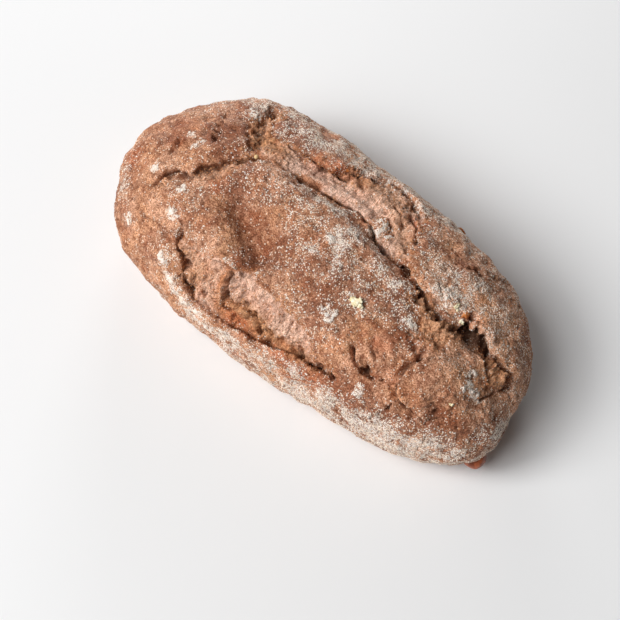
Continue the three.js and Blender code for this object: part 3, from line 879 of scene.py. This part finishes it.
# %% Dust the crust
THIN_DUSTING = 0.11  # lies everywhere
FROM_THE_STONE = 0.45  # more of it sticks to the base
THICKEST = 1.15
CLUMP_HEIGHT = 0.4 * mm
flour = np.full(count, THIN_DUSTING)
add_bells("flour", flour, FLOUR, meandering_flat)
patchy = lumps(skin, 2.4 * mm, 3, 22)
flour *= np.clip(0.95 + 1.3 * lumps(skin, 6 * mm, 3, 21) + 1.1 * patchy, 0, 2.5)
underneath = smoothstep(0.3 * height, 0.02 * height, skin[:, 2])
flour = np.clip(flour + FROM_THE_STONE * underneath, 0, THICKEST) * (1 - 0.8 * crumb) * (1 - 0.9 * shade)
crumbly = np.clip(0.8 + 0.9 * lumps(skin, 1.3 * mm, 1, 25), 0.1, 1.4)
for along, around, long, wide in CLUMPS:
    heap = bell(meandering_flat, along, around, long, wide) * (1 + 0.9 * patchy)
    clump = smoothstep(0.3, 0.7, heap) * crumbly
    flour = np.maximum(flour, 1.5 * clump)
    sunk -= CLUMP_HEIGHT * clump
    crumb *= 1 - 0.85 * np.minimum(clump, 1)
print("mean flour", round(float(flour.mean()), 2))

# %% Darker and paler places
BROWNING_AND_SHADE = {  # along, around, reach along (mm), reach round (mm), amount
    # The darker places at (-54, -30), (-23, -19) and (-14, -30) lie in a crease and in hollows: there they
    # are painted shade.
    "darker": [
        (-78, -15, 7, 8, 0.3), (-78, 8, 10, 12, 0.3), (-69, -56, 7, 7, 0.35), (-62, 22, 14, 9, 0.2),
        (-60, 15, 16, 10, 0.2), (-54, -30, 5, 4, 0.7), (-52, -56, 8, 8, 0.25), (-44, 30, 11, 8, 0.6),
        (-40, 35, 14, 8, 0.35), (-34, -4, 12, 9, 0.2), (-30, -6, 14, 8, 0.25), (-23, -19, 10, 5, 0.7),
        (-14, -30, 7, 4, 1.0), (-8, 36, 14, 3, 0.5), (5, -70, 40, 3, 0.2), (13, -1, 8, 5, 0.32),
        (24, -35, 5, 4, 0.7), (27, -17, 20, 11, 0.5), (30, -12, 18, 9, 0.15), (40, -64, 20, 6, 0.3),
        (40, -6, 5, 4, 0.3), (50, -56, 15, 6, 0.4), (53, 33, 6, 5, 0.3), (79, -44, 2.5, 2, 0.7),
        (81, -40, 8, 7, 0.5), (88, -47, 3, 2, 0.7), (95, -62, 8, 12, 0.4),
    ],
    # The paler places at (10, 46), (60, 25) and (88, -5) are on sides turned away from the lamps: there they
    # are partly painted light.
    "paler": [
        (-74, -16, 11, 14, -0.35), (-60, -44, 16, 12, -0.5), (-50, -37, 8, 5, -0.4),
        (-30, -37, 6, 4, -0.4), (0, -8, 14, 8, -0.1), (10, -70, 22, 6, -0.35), (10, 46, 40, 8, -0.3),
        (39, -23, 6, 5, -0.5), (40, 36, 8, 6, -0.4), (43, 18, 9, 6, -0.4), (48, -36, 13, 8, -0.55),
        (60, 25, 22, 14, -0.25), (71, -21, 6, 6, -0.3), (75, -48, 8, 6, -0.45), (88, -36, 6, 6, -0.3),
        (88, -5, 14, 22, -0.4),
    ],
}
print(how_many(BROWNING_AND_SHADE), "darker and paler places")

# %% Red stains
STAINS = {  # along, around, reach along (mm), reach round (mm), amount
    "far side": [
        (-22.4, 31.6, 3.5, 1.0, 0.8), (-14.4, 31, 3, 1.6, 1.0), (-7.5, 37, 4, 1.6, 0.8),
        (-6.9, 32, 5, 1.2, 0.6), (24.9, 33, 3, 2, 0.7), (27.9, 32, 3, 2, 0.8),
    ],
    "crown": [
        (-78, 5, 5, 6, 0.3), (-45.6, -15.4, 3, 2.5, 0.9), (-30, 2, 5, 4, 0.25), (0, -12, 6, 4, 0.3),
        (10, -25, 7, 4, 0.25), (51, -29, 2.5, 2.5, 0.3), (66, 11, 2, 2.5, 0.9),
    ],
    "near side": [
        (-89.7, -32, 4, 6, 0.9), (-21, -78, 3, 1.5, 0.7), (-19.3, -49, 1.5, 5.5, 0.6),
        (-16.4, -82, 3, 2, 0.7), (-13, -62.5, 5.5, 3, 0.7), (-9, -84, 4, 2, 0.6),
        (-5.7, -65, 5, 1.5, 1.0), (-5, -61.5, 4, 2, 0.35), (12.2, -64, 8, 1.4, 0.9), (22, -70, 4, 2, 0.6),
        (30, -63, 8, 1.5, 0.6), (35, -62, 12, 4, 0.4), (46.6, -32.4, 2.6, 2.2, 0.8), (62, -42, 5, 3, 0.2),
    ],
}
print(how_many(STAINS), "stains")

# %% Brown and stain the crust, with some painted shade and light
HALF_BROWN = 0.52  # the browning of the whole crust, before it is made uneven
baked = HALF_BROWN + 0.55 * lumps(skin, 17 * mm, 4, 23)
add_bells("browned_and_shaded", baked, BROWNING_AND_SHADE, meandering_flat)
baked = np.clip(baked, 0, 1) * sound + golden * crumb
stain = 0.25 * smoothstep(0.1, 0.6, lumps(skin, 6 * mm, 3, 24))
add_bells("stained", stain, STAINS, meandering_flat)
stain = np.clip(stain, 0, 1)
print("mean browning", round(float(baked.mean()), 2), "stained", round(float((stain > 0.5).mean()), 3))

# %% [markdown]
# ## Raise, crack and thin out
#
# Now all the relief is applied at once. The result has far more faces than smooth places need, so a Decimate
# modifier gathers them where the surface bends. The masks ride along as point attributes, which shaders
# can read by name.

# %% Apply the relief
standing = smoothstep(0.2 * mm, 5 * mm, skin[:, 2])
moved = skin - outward * (sunk * standing)[:, None] + pulled * standing[:, None]
moved[:, 2] = np.maximum(moved[:, 2], 0)
crust.data.vertices.foreach_set("co", moved.ravel())
MASKS = {"crumb": crumb, "shade": shade, "flour": flour, "baked": baked, "stain": stain}
for name, values in MASKS.items():
    layer = crust.data.attributes.new(name, "FLOAT", "POINT")
    layer.data.foreach_set("value", values.astype(np.float32))
before = crust.data.attributes.new("before", "FLOAT_VECTOR", "POINT")
before.data.foreach_set("vector", skin.astype(np.float32).ravel())
crust.data.update()
print("relief moved the crust by up to", round(float(np.abs(moved - skin).max() / mm), 1), "mm")

# %% Thin it out
FACES = 190_000
thinning = crust.modifiers.new("thinning", "DECIMATE")
triangles = sum(len(p.vertices) - 2 for p in crust.data.polygons)
thinning.ratio = FACES / triangles
thin = with_modifiers(crust)
crust.modifiers.clear()
crust.data = thin
thin.name = "crust"
thin.polygons.foreach_set("use_smooth", np.ones(len(thin.polygons), bool))
print(triangles, "triangles thinned to", sum(len(p.vertices) - 2 for p in thin.polygons))

# %% [markdown]
# ## The crust laid out flat
#
# A texture of the crust needs a flat layout of it. Seen from above, a loaf is nearly flat already, and only
# its sides have to be folded outwards. The base becomes a second patch beside it. The places are those from
# before the cracks opened, so no lip of a crack covers its own floor. Two large patches keep grains sharp and
# need one seam, low down; unwrapping by angle would cut so rough a skin into thousands of scraps.

# %% Corners of the faces, on the smooth skin
corner = np.empty(len(thin.loops), int)
thin.loops.foreach_get("vertex_index", corner)
first = np.empty(len(thin.polygons), int)
thin.polygons.foreach_get("loop_start", first)
sides = np.empty(len(thin.polygons), int)
thin.polygons.foreach_get("loop_total", sides)
smooth_place = vectors(thin.attributes["before"].data, "vector", len(thin.vertices))[corner]
thin.attributes.remove(thin.attributes["before"])
tilt = np.cross(smooth_place[first + 1] - smooth_place[first], smooth_place[first + 2] - smooth_place[first])
is_base = np.repeat(tilt[:, 2] < -0.5 * np.linalg.norm(tilt, axis=1), sides)
print(len(corner), "corners,", int(is_base.sum()), "of them in the base")

# %% Fold the sides out
from_above = smooth_place[:, :2]
from_middle = from_above / np.array([half_length, half_width])
fold = 0.7 * (height - smooth_place[:, 2]) * smoothstep(0.1, 0.9, np.linalg.norm(from_middle, axis=1))
way_out = from_middle / np.array([half_length, half_width])
way_out /= np.maximum(np.linalg.norm(way_out, axis=1, keepdims=True), 1e-9)
folded_out = from_above + fold[:, None] * way_out
from_below = from_above * np.array([-1, 1])
layout = np.where(is_base[:, None], from_below, folded_out)
gap = 2 * mm
for patch in (is_base, ~is_base):
    layout[patch] -= layout[patch].min(0)
layout[is_base, 1] += layout[~is_base, 1].max() + gap
margin = 0.005
layout = margin + (1 - 2 * margin) * layout / layout.max()
thin.uv_layers.new(name="OFBake").uv.foreach_set("vector", layout.astype(np.float32).ravel())
spans = [round(float(x), 2) for x in np.ptp(layout, axis=0)]
print("layout fills", spans, "of the square")

# %% [markdown]
# ## Looks shared by crust and crumb
#
# Seen close, the crust is a layer of separate grains: cream coloured meal baked into it, and whiter flour on
# top. In a shader they are round cells. Each cell holds a grain or not, by its own chance, so the amount is
# simply how many cells are full. The mask says where a grain is, and the dome, which rises to its middle,
# makes it stand out in the bump. The finest flour is powder, which noise cuts into clumps that grow together
# where it lies thick. Between the grains the baked dough shows, with painted shade where it lies deeper.

# %% Group: scattered grains
graph, given, out = new_group(
    "scattered_grains",
    [("Where", VECTOR, None), ("Grain Size", FLOAT, 0.6 * mm), ("Amount", FLOAT, 0.5)],
    [("Mask", FLOAT), ("Dome", FLOAT), ("Number", FLOAT)],
)
scale = graph.math("DIVIDE", 1.0, given["Grain Size"])
grain_cells = graph.add("ShaderNodeTexVoronoi", {"Vector": given["Where"], "Scale": scale, "Randomness": 1.0})
chance = graph.parts(grain_cells.outputs["Color"])
full = graph.math("LESS_THAN", chance[0], given["Amount"])
# A grain's radius is from 0.25 to 0.6 of its cell. Its edge is sharp in the mask and slow in the dome.
radius = graph.plus(graph.times(chance[1], 0.35), 0.25)
within = graph.minus(radius, grain_cells.outputs["Distance"])
graph.set(out["Mask"], graph.times(full, graph.times(within, 9.0, clamp=True)))
graph.set(out["Dome"], graph.times(full, graph.times(within, 3.0, clamp=True)))
graph.set(out["Number"], chance[2])
scattered_grains = graph
print("group", graph.tree.name, "with", len(graph.tree.nodes), "nodes")

# %% Group: clumps of powder
graph, given, out = new_group(
    "powder_clumps",
    [("Where", VECTOR, None), ("Clump Size", FLOAT, 1.2 * mm), ("Amount", FLOAT, 0.5)],
    [("Mask", FLOAT)],
)
scale = graph.math("DIVIDE", 1.0, given["Clump Size"])
clumpy = {"Vector": given["Where"], "Scale": scale, "Detail": 5.0, "Roughness": 0.85}
clumped = graph.add("ShaderNodeTexNoise", clumpy)
# The more flour there is, the lower the level above which the noise counts as powder.
edge = graph.minus(0.75, graph.times(given["Amount"], 0.225))
over = graph.minus(clumped.outputs["Fac"], edge)
graph.set(out["Mask"], graph.times(over, 12.0, clamp=True))
powder_clumps = graph
print("group", graph.tree.name, "with", len(graph.tree.nodes), "nodes")

# %% Colours of bread
PALE_CRUST, PALE_ORANGE_CRUST = srgb(222, 174, 146), srgb(219, 167, 132)
DARK_CRUST, DARK_ORANGE_CRUST = srgb(144, 94, 69), srgb(145, 88, 59)
FRESH_CRUMB, TOASTED_CRUMB = srgb(228, 190, 170), srgb(198, 146, 106)
# The last of these three colours is painted shade, for the bottoms of cracks, holes, pores, pits and veins.
TORN_RIM, RED_STAIN, PAINTED_CRACK_SHADE = srgb(170, 106, 66), srgb(190, 108, 66), srgb(66, 38, 25)
# Multipliers for the dough's grain: painted shade between its grains and painted light on them.
SHADE_BETWEEN_CRUST_GRAINS, LIGHT_ON_CRUST_GRAINS = (0.5, 0.36, 0.24, 1), (1.22, 1.18, 1.12, 1)
SHADE_BETWEEN_CRUMB_GRAINS, LIGHT_ON_CRUMB_GRAINS = (0.68, 0.57, 0.48, 1), (1.24, 1.23, 1.22, 1)
CREAM_MEAL, WHITE_MEAL = srgb(246, 213, 184), srgb(255, 242, 226)
WHITE_FLOUR, CREAM_FLOUR = srgb(255, 250, 244), srgb(255, 242, 228)
FILM_OF_FLOUR, POWDER = srgb(196, 178, 164), srgb(254, 246, 239)
print("crust from", PALE_CRUST[:3], "to", DARK_CRUST[:3])

# %% Group: bread colour and painted shade, without flour
BREAD_INPUTS = [
    ("Where", VECTOR, None),
    ("Browning", FLOAT, 0.5),
    ("Crumb", FLOAT, 0.0),
    ("Stain", FLOAT, 0.0),
    ("Shade", FLOAT, 0.0),
]
graph, given, out = new_group("bread_colour", BREAD_INPUTS, [("Colour", COLOUR), ("Height", FLOAT)])
mottle = graph.noise(given["Where"], 2.2 * mm, 4.0)
grit = graph.noise(given["Where"], 0.45 * mm, 2.0)
hue = graph.remap(graph.noise(given["Where"], 8 * mm, 3.0), 0.42, 0.62)
drawn = graph.add("ShaderNodeVectorMath", {0: given["Where"], 1: (1.0, 0.3, 0.3)}, operation="MULTIPLY")
fibres = graph.noise(drawn.outputs[0], 0.5 * mm, 2.0)
# The mottle makes the browning uneven, and then each crust colour is a drift between two hues.
uneven = graph.times(graph.minus(mottle, 0.5), 2.4)
browned_and_shaded = graph.plus(given["Browning"], uneven, clamp=True)
pale_crust = graph.blend(hue, PALE_CRUST, PALE_ORANGE_CRUST)
dark_crust = graph.blend(hue, DARK_CRUST, DARK_ORANGE_CRUST)
crust_colour = graph.blend(browned_and_shaded, pale_crust, dark_crust)
crumb_colour = graph.blend(given["Browning"], FRESH_CRUMB, TOASTED_CRUMB)
crumb_colour = graph.blend(1.0, crumb_colour, graph.remap(fibres, 0.3, 0.7, 0.66, 1.22), "MULTIPLY")
colour = graph.blend(given["Crumb"], crust_colour, crumb_colour)
# The rim is where crumb turns into crust: the mask is neither 0 nor 1 there.
rim = graph.times(given["Crumb"], graph.minus(1.0, given["Crumb"]))
colour = graph.blend(graph.times(rim, 2.0, clamp=True), colour, TORN_RIM)
colour = graph.blend(graph.times(given["Stain"], 0.7), colour, RED_STAIN)
# The dough's own grain, with painted shade between the grains, where it lies deeper, and painted light on
# them; less so in the crumb.
on_grains = graph.remap(grit, 0.36, 0.62)
crust_grain_shading = graph.blend(on_grains, SHADE_BETWEEN_CRUST_GRAINS, LIGHT_ON_CRUST_GRAINS)
crumb_grain_shading = graph.blend(on_grains, SHADE_BETWEEN_CRUMB_GRAINS, LIGHT_ON_CRUMB_GRAINS)
colour = graph.blend(1.0, colour, graph.blend(given["Crumb"], crust_grain_shading, crumb_grain_shading), "MULTIPLY")
# Painted shade: where the shade mask is high the colour goes towards a dark brown.
graph.set(out["Colour"], graph.blend(graph.times(given["Shade"], 0.8), colour, PAINTED_CRACK_SHADE))
graph.set(out["Height"], graph.plus(graph.times(grit, 0.7), graph.times(mottle, 2.0)))
bread_colour = graph
print("group", graph.tree.name, "with", len(graph.tree.nodes), "nodes")

# %% [markdown]
# ## The crust's material
#
# It goes on in layers: bread first, then a thin film of fine flour, powder, grains of meal and, on top, the
# whitest grains. Meal lies everywhere except in cracks and on most of the crumb; the rest follows the mask of
# flour. The white grains are the same group moved on by a few centimetres, so that they never line up with
# the meal. Grains also raise the bump, which is all that relief this fine needs.

# %% Crust material: grains
crust_material, graph, shader, where = new_material("browned_crust_and_crumb", 0.72, 0.35)
masks = {name: graph.attribute(name) for name in MASKS}


def use(graph, group, **inputs):
    """A node group in a tree, with its sockets set by name."""
    node = graph.add("ShaderNodeGroup", node_tree=group.tree)
    for name, value in inputs.items():
        graph.set(node.inputs[name.replace("_", " ")], value)
    return node.outputs


bread = use(graph, bread_colour, Where=where, Browning=masks["baked"], Crumb=masks["crumb"],
            Stain=masks["stain"], Shade=masks["shade"])
# Meal is patchy on bare crust, thinner where hardly any flour was thrown and thicker where it lies.
hidden = graph.math("MAXIMUM", masks["shade"], graph.times(masks["crumb"], 0.78))
bare = graph.minus(1.0, hidden)
coverage = graph.remap(graph.noise(where, 5 * mm, 3.0), 0.42, 0.6, 0.03, 0.5)
coverage = graph.times(coverage, graph.remap(masks["flour"], 0.0, 0.2, 0.4, 1.0))
meal_amount = graph.plus(graph.times(bare, coverage), graph.times(masks["flour"], 0.3))
meal = use(graph, scattered_grains, Where=where, Grain_Size=0.58 * mm, Amount=meal_amount)
apart = (0.03, 0.05, 0.07)
moved_on = graph.add("ShaderNodeVectorMath", {0: where, 1: apart}, operation="ADD").outputs[0]
dust_amount = graph.times(masks["flour"], 0.8)
dust = use(graph, scattered_grains, Where=moved_on, Grain_Size=0.6 * mm, Amount=dust_amount)
powder = use(graph, powder_clumps, Where=where, Clump_Size=0.9 * mm, Amount=masks["flour"])
print("groups in the crust: bread, meal, dust and powder")

# %% Crust material: colour and bump
layers = [  # how much of the layer shows, its colour
    (graph.times(masks["flour"], 0.2, clamp=True), FILM_OF_FLOUR),
    (graph.times(powder["Mask"], 0.8), POWDER),
    (graph.times(meal["Mask"], 0.88), graph.blend(meal["Number"], CREAM_MEAL, WHITE_MEAL)),
    (graph.times(dust["Mask"], 0.95), graph.blend(dust["Number"], WHITE_FLOUR, CREAM_FLOUR)),
]
colour = bread["Colour"]
for share, layer_colour in layers:
    colour = graph.blend(share, colour, layer_colour)
relief = graph.plus(graph.times(graph.plus(meal["Dome"], dust["Dome"]), 0.35), bread["Height"])
bump = graph.add("ShaderNodeBump", {"Height": relief, "Distance": 0.5 * mm, "Strength": 1.0})
graph.set(shader.inputs["Base Color"], colour)
graph.set(shader.inputs["Normal"], bump.outputs["Normal"])
crust.data.materials.clear()
crust.data.materials.append(crust_material)
print(len(crust_material.node_tree.nodes), "nodes in the crust")

# %% The roll's piece
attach(crust, "root")
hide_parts("roll")
print("the crust takes the place of the CAD roll")

# %% [markdown]
# ## The walnut at the foot
#
# A bit of walnut baked into the end of the loaf sticks out where it rests on the table. It has its own CAD
# shape, so it only needs rounding and a skin that drifts from amber to dark brown.

# %% Walnut
nut = smooth_copy("nut_piece", "walnut_bit", 2)
nut_material, graph, shader, where = new_material("baked_walnut", 0.4, 0.5)
patchy = graph.noise(where, 1.6 * mm, 3.0)
amber_skin, dark_skin = srgb(192, 106, 66), srgb(128, 62, 36)
graph.set(shader.inputs["Base Color"], graph.blend(graph.remap(patchy, 0.35, 0.65), amber_skin, dark_skin))
nut.data.materials.append(nut_material)
nut.data.polygons.foreach_set("use_smooth", np.ones(len(nut.data.polygons), bool))
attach(nut, "root")
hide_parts("nut_piece")
print("walnut bit", len(nut.data.vertices), "vertices")

# %% [markdown]
# ## Grains and crumbs that stand proud
#
# The largest flour grains stand out of the crust and roughen its outline, so they are real: thousands of
# tiny flattened stones of eight facets. Each lies flat on the crust, turned its own way about the upright and
# partly pressed in. They fall more thickly where the flour mask is strong. Crumbs are the same, larger and
# browner, and cling to the torn edges and the toasted crumb. One joined mesh per kind keeps them light.

# %% Read the thinned crust
def values_of(mesh, name):
    """A mask of each vertex of a mesh."""
    found = np.empty(len(mesh.vertices))
    mesh.attributes[name].data.foreach_get("value", found)
    return found


thin.calc_loop_triangles()
triangle = np.empty(len(thin.loop_triangles) * 3, int)
thin.loop_triangles.foreach_get("vertices", triangle)
triangle = triangle.reshape(-1, 3)
triangle_corners = vectors(thin.vertices, "co", len(thin.vertices))[triangle]
edges = triangle_corners[:, 1:] - triangle_corners[:, :1]
across = np.cross(edges[:, 0], edges[:, 1])
area = np.linalg.norm(across, axis=1) / 2
facing = across / np.maximum(2 * area, 1e-12)[:, None]
mask_on = {name: values_of(thin, name)[triangle].mean(1) for name in ("flour", "crumb", "baked")}
print(len(triangle), "triangles to scatter on,", round(area.sum() / mm**2), "square mm")

# %% Scatter stones
rng = np.random.default_rng(7)
diamond = np.array([(1, 0, 0), (-1, 0, 0), (0, 1, 0), (0, -1, 0), (0, 0, 1), (0, 0, -1)], float)
upper_half = [(0, 2, 4), (2, 1, 4), (1, 3, 4), (3, 0, 4)]
lower_half = [(2, 0, 5), (1, 2, 5), (3, 1, 5), (0, 3, 5)]
diamond_faces = np.array(upper_half + lower_half)
STANDS_AT = 0.25  # how high the middle of a stone lies over the crust, in radii
FLATTENED = [1, 1, 0.6]


def scatter_stones(name, number, density, smallest, largest, material):
    """Small uneven stones over the crust, thicker where the density is higher. Radii in millimetres."""
    weight = area * density * (facing[:, 2] > -0.5)
    chosen = rng.choice(len(weight), number, p=weight / weight.sum())
    share = rng.dirichlet((1, 1, 1), number)
    radii = rng.uniform(smallest, largest, number) * mm
    upright = facing[chosen]
    feet = (share[:, :, None] * triangle_corners[chosen]).sum(1)
    centres = feet + upright * radii[:, None] * STANDS_AT
    sideways = np.cross(upright, rng.normal(size=(number, 3)))
    sideways /= np.linalg.norm(sideways, axis=1, keepdims=True)
    turns = np.stack([sideways, np.cross(upright, sideways), upright], 1)
    stretch = rng.uniform(0.7, 1.3, (number, 1, 3)) * FLATTENED
    corners = centres[:, None] + (diamond * stretch) @ turns * radii[:, None, None]
    corners[..., 2] = np.maximum(corners[..., 2], 0)
    faces = diamond_faces + 6 * np.arange(number)[:, None, None]
    mesh = bpy.data.meshes.new(name)
    mesh.from_pydata(corners.reshape(-1, 3).tolist(), [], faces.reshape(-1, 3).tolist())
    mesh.materials.append(material)
    stones = add_object(name, mesh)
    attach(stones, "root")
    print(number, name + ",", len(mesh.polygons), "faces")


def speckled(name, wavelength, one, other, roughness=0.8):
    """A material that drifts between two colours."""
    material, graph, shader, where = new_material(name, roughness, 0.3)
    share = graph.remap(graph.noise(where, wavelength, 2.0), 0.35, 0.65)
    graph.set(shader.inputs["Base Color"], graph.blend(share, one, other))
    return material


print("stones can be scattered")

# %% Flour grains and crumbs
grain_look = speckled("coarse_flour", 0.8 * mm, srgb(255, 244, 230), srgb(249, 227, 203))
crumb_look = speckled("toasted_crumb", 1.6 * mm, srgb(206, 152, 110), srgb(158, 98, 62))
floured = 0.05 * (1 - mask_on["crumb"]) + mask_on["flour"]
scatter_stones("flour_grains", 24_000, floured, 0.1, 0.24, grain_look)
torn_edge = 4 * mask_on["crumb"] * (1 - mask_on["crumb"])
crumby = 0.02 + torn_edge + 0.7 * mask_on["crumb"] * mask_on["baked"]
scatter_stones("clinging_crumbs", 4_500, crumby, 0.18, 0.42, crumb_look)

# %% [markdown]
# ## Nut and seed
#
# Bits of pale and of amber walnut and one round seed sit in the crust. Each bit is a small ball, stretched to
# its own length, width and height and pushed far out of round by the same noise, so that it looks broken.
# The seed is left smooth. All of them are sunk into the crust by a little less than half.

# %% Bits in the crust
def press_in(name, material, lumpiness, places):
    """Bits of one kind as one piece. Each is a place and its radii along, across and up, in millimetres."""
    shape = bmesh.new()
    for along, around, long, wide, tall in places:
        made = bmesh.ops.create_icosphere(shape, subdivisions=3, radius=1.0)["verts"]
        centre = spot(along, around)
        normal = (centre - Vector((centre.x, 0, axis_height))).normalized()
        ball = np.array([v.co for v in made])
        ball *= 1 + lumpiness * lumps(ball, 0.8, 3, round(abs(along)))[:, None]
        level = abs(normal.z) >= 0.98
        side = Vector((1, 0, 0)) if level else normal.cross(Vector((0, 0, 1))).normalized()
        turned = np.array([side, normal.cross(side), normal])
        foot = np.array(centre + normal * 0.15 * tall * mm)
        placed = (ball * np.array([long, wide, tall]) * mm) @ turned + foot
        for vertex, position in zip(made, placed):
            vertex.co = position
    mesh = bpy.data.meshes.new(name)
    shape.to_mesh(mesh)
    shape.free()
    mesh.materials.append(material)
    mesh.polygons.foreach_set("use_smooth", np.ones(len(mesh.polygons), bool))
    bits = add_object(name, mesh)
    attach(bits, "root")
    print(name, len(places), "bits")


print("bits can be pressed in")

# %% Pale walnut, seed and amber walnut
pale_nut = speckled("pale_walnut", 0.9 * mm, srgb(248, 240, 212), srgb(228, 208, 158), 0.6)
seed_skin = speckled("seed_skin", 1.5 * mm, srgb(240, 214, 166), srgb(222, 190, 138), 0.5)
amber_nut = speckled("amber_walnut", 1.2 * mm, srgb(212, 132, 72), srgb(166, 92, 46), 0.5)
press_in("pale_walnut", pale_nut, 0.7, [
    (29.6, -22.4, 1.5, 0.9, 0.5), (31.2, -21.6, 1.2, 1.1, 0.7), (32.6, -22.6, 1.1, 0.8, 0.5),
    (30.6, -23.8, 1.0, 0.6, 0.4), (60.2, 9.6, 0.6, 1.2, 0.6), (61.2, 8.0, 0.6, 0.6, 0.5),
    (64.4, 5.8, 1.1, 0.6, 0.6), (81.5, -37, 1.0, 0.6, 0.4),
])
press_in("round_seed", seed_skin, 0.0, [(-42.1, 10.6, 0.75, 0.75, 0.75)])
press_in("amber_walnut", amber_nut, 0.7, [
    (35.5, 63, 1.4, 0.9, 0.8), (-14.4, 31.2, 1.4, 0.8, 0.5), (-11.5, 32.6, 1.2, 0.6, 0.5),
    (64.6, 9.6, 0.9, 1.5, 0.5),
])
